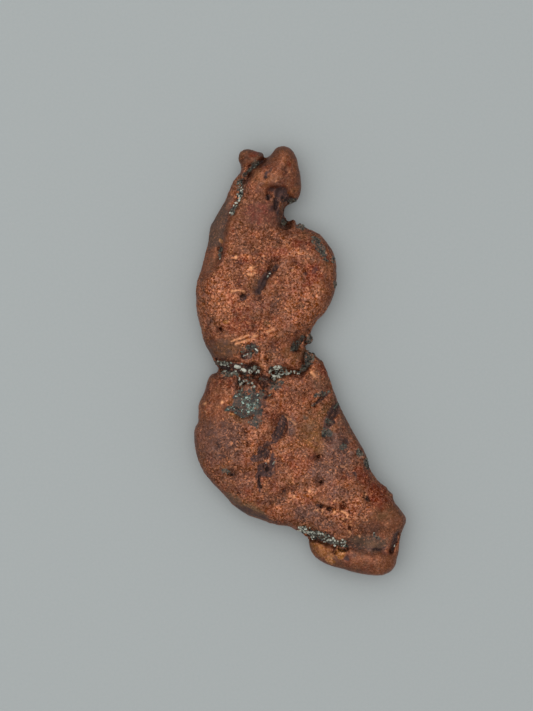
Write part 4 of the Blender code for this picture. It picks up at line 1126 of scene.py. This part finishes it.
shade = add(skin, "ShaderNodeMath", {0: luck[0], 1: 0.48}, operation="SUBTRACT")
shade = add(skin, "ShaderNodeMath", {0: shade, 1: 1.25}, operation="MULTIPLY")
shade = add(skin, "ShaderNodeMath", {0: shade, 1: often, 2: 1.0}, operation="MULTIPLY_ADD")
purity = add(skin, "ShaderNodeMath", {0: shade, 1: -0.3, 2: 1.3}, operation="MULTIPLY_ADD")
colour = add(skin, "ShaderNodeHueSaturation", {"Color": colour, "Value": shade, "Saturation": purity})
flecks = []
for draw, hex_colour, begins in SPECKS:
    speck = add(skin, "ShaderNodeMapRange", {"Value": luck[draw], "From Min": begins,
                                             "From Max": begins + 0.1, "To Max": 0.7})
    speck = add(skin, "ShaderNodeMath", {0: speck, 1: often}, operation="MULTIPLY")
    flecks.append((speck, hex_colour))
# The glints and lips laid on the mesh are painted highlights, in a pale orange.
for share, hex_colour in (*flecks, (laid["glint"], "#F2AC7C")):
    colour = add(skin, "ShaderNodeMix", {FACTOR: share, UNDER: colour, OVER: linear(hex_colour)},
                 data_type="RGBA")
print("facet cells", FACET, "mm across,", len(SPECKS), "kinds of speck")

# %% [markdown]
# ## Gloss and fine relief
# Rubbed copper is smoother than oxide, and mineral stains are no metal at all. The mesh carries
# the grains; a bump leans the facets inside each grain, which are as large as those that got the
# specks, and adds grit finer still, which is drawn at 0.13 mm because less would not show.

# %% Native copper: gloss and bump
GRIT = 0.13  # mm

dull = add(skin, "ShaderNodeMath", {0: shares["oxide"], 1: shares["patina"]}, operation="MAXIMUM")
rough = add(skin, "ShaderNodeMapRange", {"Value": fine, "From Min": 0.3, "From Max": 0.7,
                                         "To Min": 0.42, "To Max": 0.54})
for share, rougher in ((dull, 0.12), (laid["rubbed"], -0.08)):
    rough = add(skin, "ShaderNodeMath", {0: share, 1: rougher, 2: rough}, operation="MULTIPLY_ADD")
stony = add(skin, "ShaderNodeMath", {0: shares["malachite"], 1: shares["chlorite"]},
            operation="MAXIMUM")
metal = add(skin, "ShaderNodeMapRange", {"Value": stony, "From Min": 0.1, "From Max": 0.6,
                                         "To Min": 1.0, "To Max": 0.0})
metal = add(skin, "ShaderNodeMath", {0: dull, 1: -0.5, 2: metal}, operation="MULTIPLY_ADD",
            use_clamp=True)

facet = leaning_facets(skin, place, FACET * MM, 1.0)
facet = add(skin, "ShaderNodeMath", {0: facet, 1: laid["grainy"]}, operation="MULTIPLY")
facet = add(skin, "ShaderNodeBump", {"Height": facet, "Distance": 0.5, "Strength": 1.0})
grit = add(skin, "ShaderNodeTexNoise", {"Vector": place, "Scale": 1 / (GRIT * MM), "Detail": 2.0})
gritty = add(skin, "ShaderNodeBump", {"Height": grit, "Distance": 0.03 * MM, "Strength": 0.8,
                                      "Normal": facet})
shader = add(skin, "ShaderNodeBsdfPrincipled", {"Base Color": colour, "Roughness": rough,
                                                "Metallic": metal, "Normal": gritty})
add(skin, "ShaderNodeOutputMaterial", {"Surface": shader})
print("native copper:", len(skin.nodes), "nodes")

# %% [markdown]
# ## The minerals' finishes
# Pale grains are prehnite and calcite, dull with a faint green, and worn frosty. Malachite is
# chalky and blue-green. The dark grains are chlorite, soft and greasy. The grit of the seams runs
# from dark to pale. None is metal. Every grain will carry a tone of its own, and noise clouds it.
# One function makes all four, as they differ in colours, clouds and gloss only.

# %% Mineral materials
def mineral(name, dark, light, size, roughness):
    """A stone that runs from a dark to a light colour, grain by grain and in clouds of a size."""
    material = bpy.data.materials.new(name)
    material.use_nodes = True
    tree = material.node_tree
    tree.nodes.clear()
    place = add(tree, "ShaderNodeTexCoord").outputs["Object"]
    grain_tone = add(tree, "ShaderNodeAttribute", attribute_name="tone").outputs["Fac"]
    cloud = add(tree, "ShaderNodeTexNoise", {"Vector": place, "Scale": 2 / (size * MM)})
    tone = add(tree, "ShaderNodeMix", {"Factor": 0.4, "A": grain_tone, "B": cloud})
    tone = add(tree, "ShaderNodeMapRange", {"Value": tone, "From Min": 0.36, "From Max": 0.68})
    colour = add(tree, "ShaderNodeMix", {FACTOR: tone, UNDER: linear(dark), OVER: linear(light)},
                 data_type="RGBA")
    bump = add(tree, "ShaderNodeBump", {"Height": cloud, "Distance": 0.05 * MM, "Strength": 0.6})
    shader = add(tree, "ShaderNodeBsdfPrincipled", {"Base Color": colour, "Roughness": roughness,
                                                    "Normal": bump})
    add(tree, "ShaderNodeOutputMaterial", {"Surface": shader})
    return material


prehnite = mineral("worn_prehnite", "#686A5E", "#C2C2B4", 0.6, 0.4)
seam_grit = mineral("seam_grit", "#24251E", "#B4B5A6", 0.3, 0.55)
malachite = mineral("malachite_crust", "#161C19", "#B4CCBF", 0.3, 0.75)
chlorite = mineral("chlorite", "#12110D", "#5E5D50", 0.3, 0.5)
print("minerals:", [stone.name for stone in (prehnite, seam_grit, malachite, chlorite)])

# %% [markdown]
# ## One grain on each point
# Every mineral grain is a small ball of twenty flat faces, stretched, turned and then dented by
# noise, so that no two are alike. A worn sand grain looks like that. The nodes that do it are
# shared by two trees, one that strews grains and one that sets them where they are listed.
# Modelling each by hand would take days and look no more natural.

# %% Setting grains
DENTS_PER_MM, DENT_DEPTH = 3.5, 0.4


def set_grains(tree, points, turn, scale, detail, material):
    """Adds the nodes that set a dented grain on each point and make the grains real."""
    tone = add(tree, "FunctionNodeRandomValue", {"Seed": 8}, data_type="FLOAT")
    points = add(tree, "GeometryNodeStoreNamedAttribute",
                 {"Geometry": points, "Name": "tone", "Value": tone}, data_type="FLOAT")
    ball = add(tree, "GeometryNodeMeshIcoSphere", {"Radius": 0.5, "Subdivisions": detail})
    placed = add(tree, "GeometryNodeInstanceOnPoints",
                 {"Points": points, "Instance": ball, "Rotation": turn, "Scale": scale})
    real = add(tree, "GeometryNodeRealizeInstances", {"Geometry": placed})
    place = add(tree, "GeometryNodeInputPosition")
    dents = add(tree, "ShaderNodeTexNoise", {"Vector": place, "Scale": DENTS_PER_MM})
    dents = add(tree, "ShaderNodeVectorMath", {0: dents.outputs["Color"], 1: MIDDLE},
                operation="SUBTRACT")
    dents = add(tree, "ShaderNodeVectorMath", {0: dents, "Scale": DENT_DEPTH}, operation="SCALE")
    dented = add(tree, "GeometryNodeSetPosition", {"Geometry": real, "Offset": dents})
    painted = add(tree, "GeometryNodeSetMaterial", {"Geometry": dented, "Material": material})
    add(tree, "NodeGroupOutput", {"Geometry": painted})


print("dents reach", DENT_DEPTH / 2, "mm at most")

# %% [markdown]
# ## A tree that strews
# Grit lies thick in the middle of a seam and thins out at its edges. Points spread over the
# surface as densely as an attribute says give just that. Each point gets a size, a stretch and a
# turn by chance, from fixed seeds, so that the grains fall the same way every time.

# %% The strewing tree
def strewing_tree():
    """Spreads grains over a mesh as densely as an attribute of it says."""
    tree, given = new_tree("strewn grains", {
        "Mask": ("NodeSocketString", ""), "Density": ("NodeSocketFloat", 4.0),
        "Smallest": ("NodeSocketFloat", 0.2), "Largest": ("NodeSocketFloat", 0.5),
        "Flatness": ("NodeSocketFloat", 0.6), "Seed": ("NodeSocketInt", 1),
        "Material": ("NodeSocketMaterial", None)})
    where = add(tree, "GeometryNodeInputNamedAttribute", {"Name": given["Mask"]}, data_type="FLOAT")
    where = add(tree, "ShaderNodeMapRange", {"Value": where, "From Min": 0.3, "From Max": 0.8})
    density = add(tree, "ShaderNodeMath", {0: where, 1: given["Density"]}, operation="MULTIPLY")
    spread = add(tree, "GeometryNodeDistributePointsOnFaces",
                 {"Mesh": given["Geometry"], "Density": density, "Seed": given["Seed"]})
    size = add(tree, "FunctionNodeRandomValue", {2: given["Smallest"], 3: given["Largest"]},
               data_type="FLOAT")
    long = add(tree, "FunctionNodeRandomValue", {2: 0.9, 3: 1.6, "Seed": 6}, data_type="FLOAT")
    flat = add(tree, "FunctionNodeRandomValue", {2: given["Flatness"], 3: 1.0, "Seed": 5},
               data_type="FLOAT")
    shape = add(tree, "ShaderNodeCombineXYZ", {0: long, 1: 1.0, 2: flat})
    scale = add(tree, "ShaderNodeVectorMath", {0: shape, "Scale": size}, operation="SCALE")
    turn = add(tree, "FunctionNodeRandomValue", {1: (math.tau, math.tau, math.tau), "Seed": 7},
               data_type="FLOAT_VECTOR")
    turn = add(tree, "FunctionNodeEulerToRotation", {0: turn})
    set_grains(tree, spread, turn, scale, 1, given["Material"])
    return tree


strewing = strewing_tree()
print("strewing tree:", len(strewing.nodes), "nodes")

# %% [markdown]
# ## Strewing the small grains
# Three kinds of small grain are strewn by the same tree, each over its own attribute: grit in
# the seams, malachite in its lace, and chlorite in the dark spots. What would reach below the
# ground is pressed flat on it.

# %% Strewn grains
def strewn(name, **values):
    """A new piece of grains strewn over the nugget."""
    piece = bpy.data.objects.new(name, nugget.data)
    bpy.context.scene.collection.objects.link(piece)
    piece.data = run_tree(piece, strewing, **values)
    reach = points_of(piece.data)
    reach[:, 2] = np.maximum(reach[:, 2], GROUND)
    set_points(piece.data, reach)
    print(name, len(piece.data.polygons), "faces")
    return piece


grit_grains = strewn("seam_grit_grains", mask="seam", density=10.0, smallest=0.16, largest=0.46,
                     flatness=0.6, seed=3, material=seam_grit)
malachite_grains = strewn("malachite_grains", mask="malachite_lace", density=12.0, smallest=0.12,
                          largest=0.3, flatness=0.5, seed=4, material=malachite)
chlorite_grains = strewn("chlorite_grains", mask="chlorite", density=9.0, smallest=0.14,
                         largest=0.38, flatness=0.6, seed=5, material=chlorite)

# %% [markdown]
# ## The large pale crystals
# The biggest grains are what the eye goes to, so they are listed one by one: x, y, length, width
# and turn. Each will become a point that carries its size and turn as attributes. So they sit where
# they should, and one tree still makes them all.

# %% Pale crystals
CRYSTALS = [
    (-9.0, 27.0, 0.32, 0.2, 80), (-9.15, 26.3, 0.3, 0.2, 60), (-8.85, 25.6, 0.36, 0.25, 60),
    (-9.0, 24.9, 0.34, 0.24, 70), (-9.1, 24.25, 0.75, 0.32, 62), (-9.65, 23.8, 0.42, 0.28, 20),
    (-10.0, 23.4, 0.34, 0.22, 60), (-8.8, 26.7, 0.22, 0.16, 0), (-1.5, 24.0, 0.45, 0.2, 10),
    (-0.8, 24.15, 0.25, 0.2, 0), (-4.85, 12.7, 0.42, 0.22, 60), (-4.6, 13.15, 0.26, 0.18, 50),
    (-12.05, 15.3, 0.22, 0.16, 90), (-8.35, 0.8, 0.62, 0.26, 20), (-7.9, 1.0, 0.3, 0.22, 60),
    (-7.35, 1.15, 0.42, 0.34, 30), (-6.6, 1.7, 0.75, 0.22, -42), (-7.1, 2.15, 0.5, 0.2, -20),
    (-7.75, 2.35, 0.28, 0.18, 0), (-12.3, 0.0, 0.36, 0.28, 0), (-11.8, -0.5, 0.6, 0.38, -30),
    (-10.9, -0.15, 0.42, 0.2, 50), (-10.4, -0.25, 0.46, 0.22, -50), (-10.8, -0.8, 0.32, 0.24, 0),
    (-9.4, -0.85, 1.1, 0.66, -10), (-8.5, -1.35, 0.9, 0.6, -30), (-6.85, -1.0, 0.95, 0.58, 75),
    (-7.5, -1.85, 0.32, 0.26, 0), (-8.8, -0.4, 0.36, 0.25, 0), (-11.5, -1.6, 0.38, 0.28, 20),
    (-10.9, -1.7, 0.3, 0.22, -20), (-9.1, -2.75, 0.7, 0.24, 88), (-9.0, -3.6, 0.6, 0.24, 85),
    (-9.3, -2.0, 0.3, 0.22, 0), (-6.1, -0.9, 0.28, 0.22, 0), (-4.3, -1.4, 0.7, 0.3, 10),
    (-3.5, -1.2, 0.7, 0.3, 5), (-2.75, -1.2, 0.42, 0.22, 10), (-3.95, -2.3, 0.7, 0.46, -25),
    (-3.3, -2.25, 0.6, 0.36, 20), (-2.75, -2.05, 0.42, 0.26, 15), (-2.2, -1.85, 0.42, 0.28, 0),
    (-1.75, -1.8, 0.34, 0.24, 0), (-1.3, -1.75, 0.3, 0.22, 0), (-0.85, -1.75, 0.26, 0.2, 0),
    (-0.45, -1.7, 0.2, 0.15, 0), (-4.6, -5.15, 0.6, 0.2, 35), (4.25, -4.65, 0.36, 0.22, 45),
    (-4.05, -15.35, 0.42, 0.22, 50), (-3.8, -15.1, 0.26, 0.2, 0), (-5.15, -15.3, 0.24, 0.16, 30),
    (-4.7, -14.7, 0.2, 0.15, 0), (-2.0, -24.85, 0.3, 0.22, 0), (0.8, -25.2, 0.5, 0.38, 0),
    (0.4, -25.4, 0.3, 0.22, 0), (2.2, -25.8, 0.46, 0.32, -20), (2.8, -25.9, 0.4, 0.3, 20),
    (3.4, -25.9, 0.46, 0.34, -30), (3.9, -26.4, 0.46, 0.34, 0), (4.3, -26.2, 0.34, 0.26, 0),
    (4.6, -26.9, 0.42, 0.32, 40), (5.1, -27.1, 0.34, 0.28, 0), (5.6, -27.3, 0.4, 0.3, -10),
    (6.2, -27.2, 0.36, 0.26, 30), (6.8, -27.5, 0.3, 0.24, 0), (5.2, -27.75, 0.3, 0.4, 80),
    (3.0, -26.4, 0.34, 0.26, 10), (1.6, -26.2, 0.34, 0.26, 0), (14.25, -27.9, 0.36, 0.14, 70),
    (11.1, -25.8, 0.3, 0.18, 0), (11.75, -26.4, 0.28, 0.2, 0), (-14.2, -7.6, 0.18, 0.15, 0),
    (8.85, -13.55, 0.34, 0.24, 30), (6.6, -12.6, 0.2, 0.14, 0), (-11.5, -16.3, 0.22, 0.18, 0),
]
print(len(CRYSTALS), "crystals, the longest", max(row[2] for row in CRYSTALS), "mm long")

# %% [markdown]
# ## Setting the crystals
# A setter presses each stone into its bed at the height of the metal round it. So the height of
# the copper is measured at each place, over the nearest points that face up, and the crystal is
# put there with a part of its height sunk.

# %% Crystals in their beds
HEIGHT_TO_WIDTH = 0.9
SINK = 0.1  # share of its height that a crystal is sunk
BED = 0.05  # mm that each is sunk besides
NEIGHBOURS = 12
FAR = 10  # mm that a point counts as farther away if it faces down


def placed_tree():
    """Sets one grain at each given point, by the size and turn that the point carries."""
    tree, given = new_tree("placed crystals", {"Material": ("NodeSocketMaterial", None)})
    scale = add(tree, "GeometryNodeInputNamedAttribute", {"Name": "size"}, data_type="FLOAT_VECTOR")
    turn = add(tree, "GeometryNodeInputNamedAttribute", {"Name": "turn"}, data_type="FLOAT_VECTOR")
    turn = add(tree, "FunctionNodeEulerToRotation", {0: turn})
    points = add(tree, "GeometryNodeMeshToPoints", {"Mesh": given["Geometry"]})
    set_grains(tree, points, turn, scale, 2, given["Material"])
    return tree


def surface_height(x, y):
    """Height of the upper face at a place, or of the nearest rim."""
    away = np.hypot(points[:, 0] - x, points[:, 1] - y) + FAR * (faces_up < 0.5)
    return points[np.argsort(away)[:NEIGHBOURS], 2].mean()


seeds = bpy.data.meshes.new("crystal places")
seeds.from_pydata([(x, y, surface_height(x, y) + (0.5 - SINK) * HEIGHT_TO_WIDTH * width - BED)
                   for x, y, length, width, turn in CRYSTALS], [], [])
size = seeds.attributes.new("size", "FLOAT_VECTOR", "POINT")
turn = seeds.attributes.new("turn", "FLOAT_VECTOR", "POINT")
for number, (x, y, length, width, angle) in enumerate(CRYSTALS):
    size.data[number].vector = (length, width, HEIGHT_TO_WIDTH * width)
    turn.data[number].vector = (0, 0, math.radians(angle))
crystals = bpy.data.objects.new("pale_crystals", seeds)
bpy.context.scene.collection.objects.link(crystals)
crystals.data = run_tree(crystals, placed_tree(), material=prehnite)
print("crystals:", len(crystals.data.polygons), "faces")

# %% [markdown]
# ## Finishing the pieces
# Every piece is scaled from millimetres to metres in its mesh, so that its object stays at the
# origin, unturned and unscaled. The copper is shaded smooth. The grains keep their flat facets.
# The fine copper replaces the solid in view, and everything rides on the one body.

# %% Scale, shade and ride
pieces = [nugget, crystals, grit_grains, malachite_grains, chlorite_grains]
for piece in pieces:
    set_points(piece.data, points_of(piece.data) * MM)
    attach(piece, "root")
nugget.data.shade_smooth()
nugget.data.materials.clear()
nugget.data.materials.append(copper)
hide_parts("copper_nugget")
print(sum(len(piece.data.polygons) for piece in pieces), "faces in all")

# %% [markdown]
# ## The board
# The nugget lies on a pale grey board. Card that is matt all over still has a fine fibre, which
# keeps its grey from looking like an empty background.

# %% Board
FLOOR_SIZE = 1.2  # m
GAP = 0.03  # mm between the nugget and the board

card = bpy.data.materials.new("matt_card")
card.use_nodes = True
tree = card.node_tree
tree.nodes.clear()
place = add(tree, "ShaderNodeTexCoord").outputs["Object"]
fibre = add(tree, "ShaderNodeTexNoise", {"Vector": place, "Scale": 1 / (0.4 * MM), "Detail": 4.0})
fibre = add(tree, "ShaderNodeMapRange", {"Value": fibre, "From Min": 0.3, "From Max": 0.7})
grey = add(tree, "ShaderNodeMix",
           {FACTOR: fibre, UNDER: linear("#A4AAAA"), OVER: linear("#A7ACAC")}, data_type="RGBA")
shader = add(tree, "ShaderNodeBsdfPrincipled",
             {"Base Color": grey, "Roughness": 0.8, "Specular IOR Level": 0.2})
add(tree, "ShaderNodeOutputMaterial", {"Surface": shader})

bpy.ops.mesh.primitive_plane_add(size=FLOOR_SIZE, location=(0, 0, -GAP * MM))
floor = bpy.context.object
floor.name = "board"
floor.data.materials.append(card)
print("board", FLOOR_SIZE, "m square")

# %% [markdown]
# ## Light and camera
# A large soft box above and a white room leave only a faint shadow close to the nugget's edge.
# The camera looks straight down from far enough away that the outline isn't stretched.

# %% Softbox, room and camera
SOFTBOX_PLACE, SOFTBOX_SIZE, SOFTBOX_POWER = (-0.12, 0.06, 0.48), 0.62, 1.25
ROOM_LIGHT = 0.7
CAMERA_HEIGHT = 0.30
PICTURE_HEIGHT = 0.10757
PICTURE_CENTRE = (-0.00505, 0.00083)
RIM_HEIGHT = 0.00325
SENSOR = 36.0

light = bpy.data.lights.new("softbox", "AREA")
light.size = SOFTBOX_SIZE
light.energy = SOFTBOX_POWER
softbox = bpy.data.objects.new("softbox", light)
softbox.location = SOFTBOX_PLACE
softbox.rotation_euler = Vector(softbox.location).to_track_quat("Z", "Y").to_euler()
bpy.context.scene.collection.objects.link(softbox)

world = bpy.data.worlds.new("room")
world.use_nodes = True
background = world.node_tree.nodes["Background"].inputs
background["Color"].default_value = (1, 1, 1, 1)
background["Strength"].default_value = ROOM_LIGHT
bpy.context.scene.world = world
bpy.context.scene.view_settings.view_transform = "Standard"

lens = bpy.data.cameras.new("camera")
lens.sensor_width = SENSOR
lens.lens = SENSOR * CAMERA_HEIGHT / PICTURE_HEIGHT
lens.clip_start, lens.clip_end = 0.01, 10
camera = bpy.data.objects.new("camera", lens)
camera.location = (*PICTURE_CENTRE, RIM_HEIGHT + CAMERA_HEIGHT)
bpy.context.scene.collection.objects.link(camera)
bpy.context.scene.camera = camera
print("camera lens", round(lens.lens, 1), "mm")
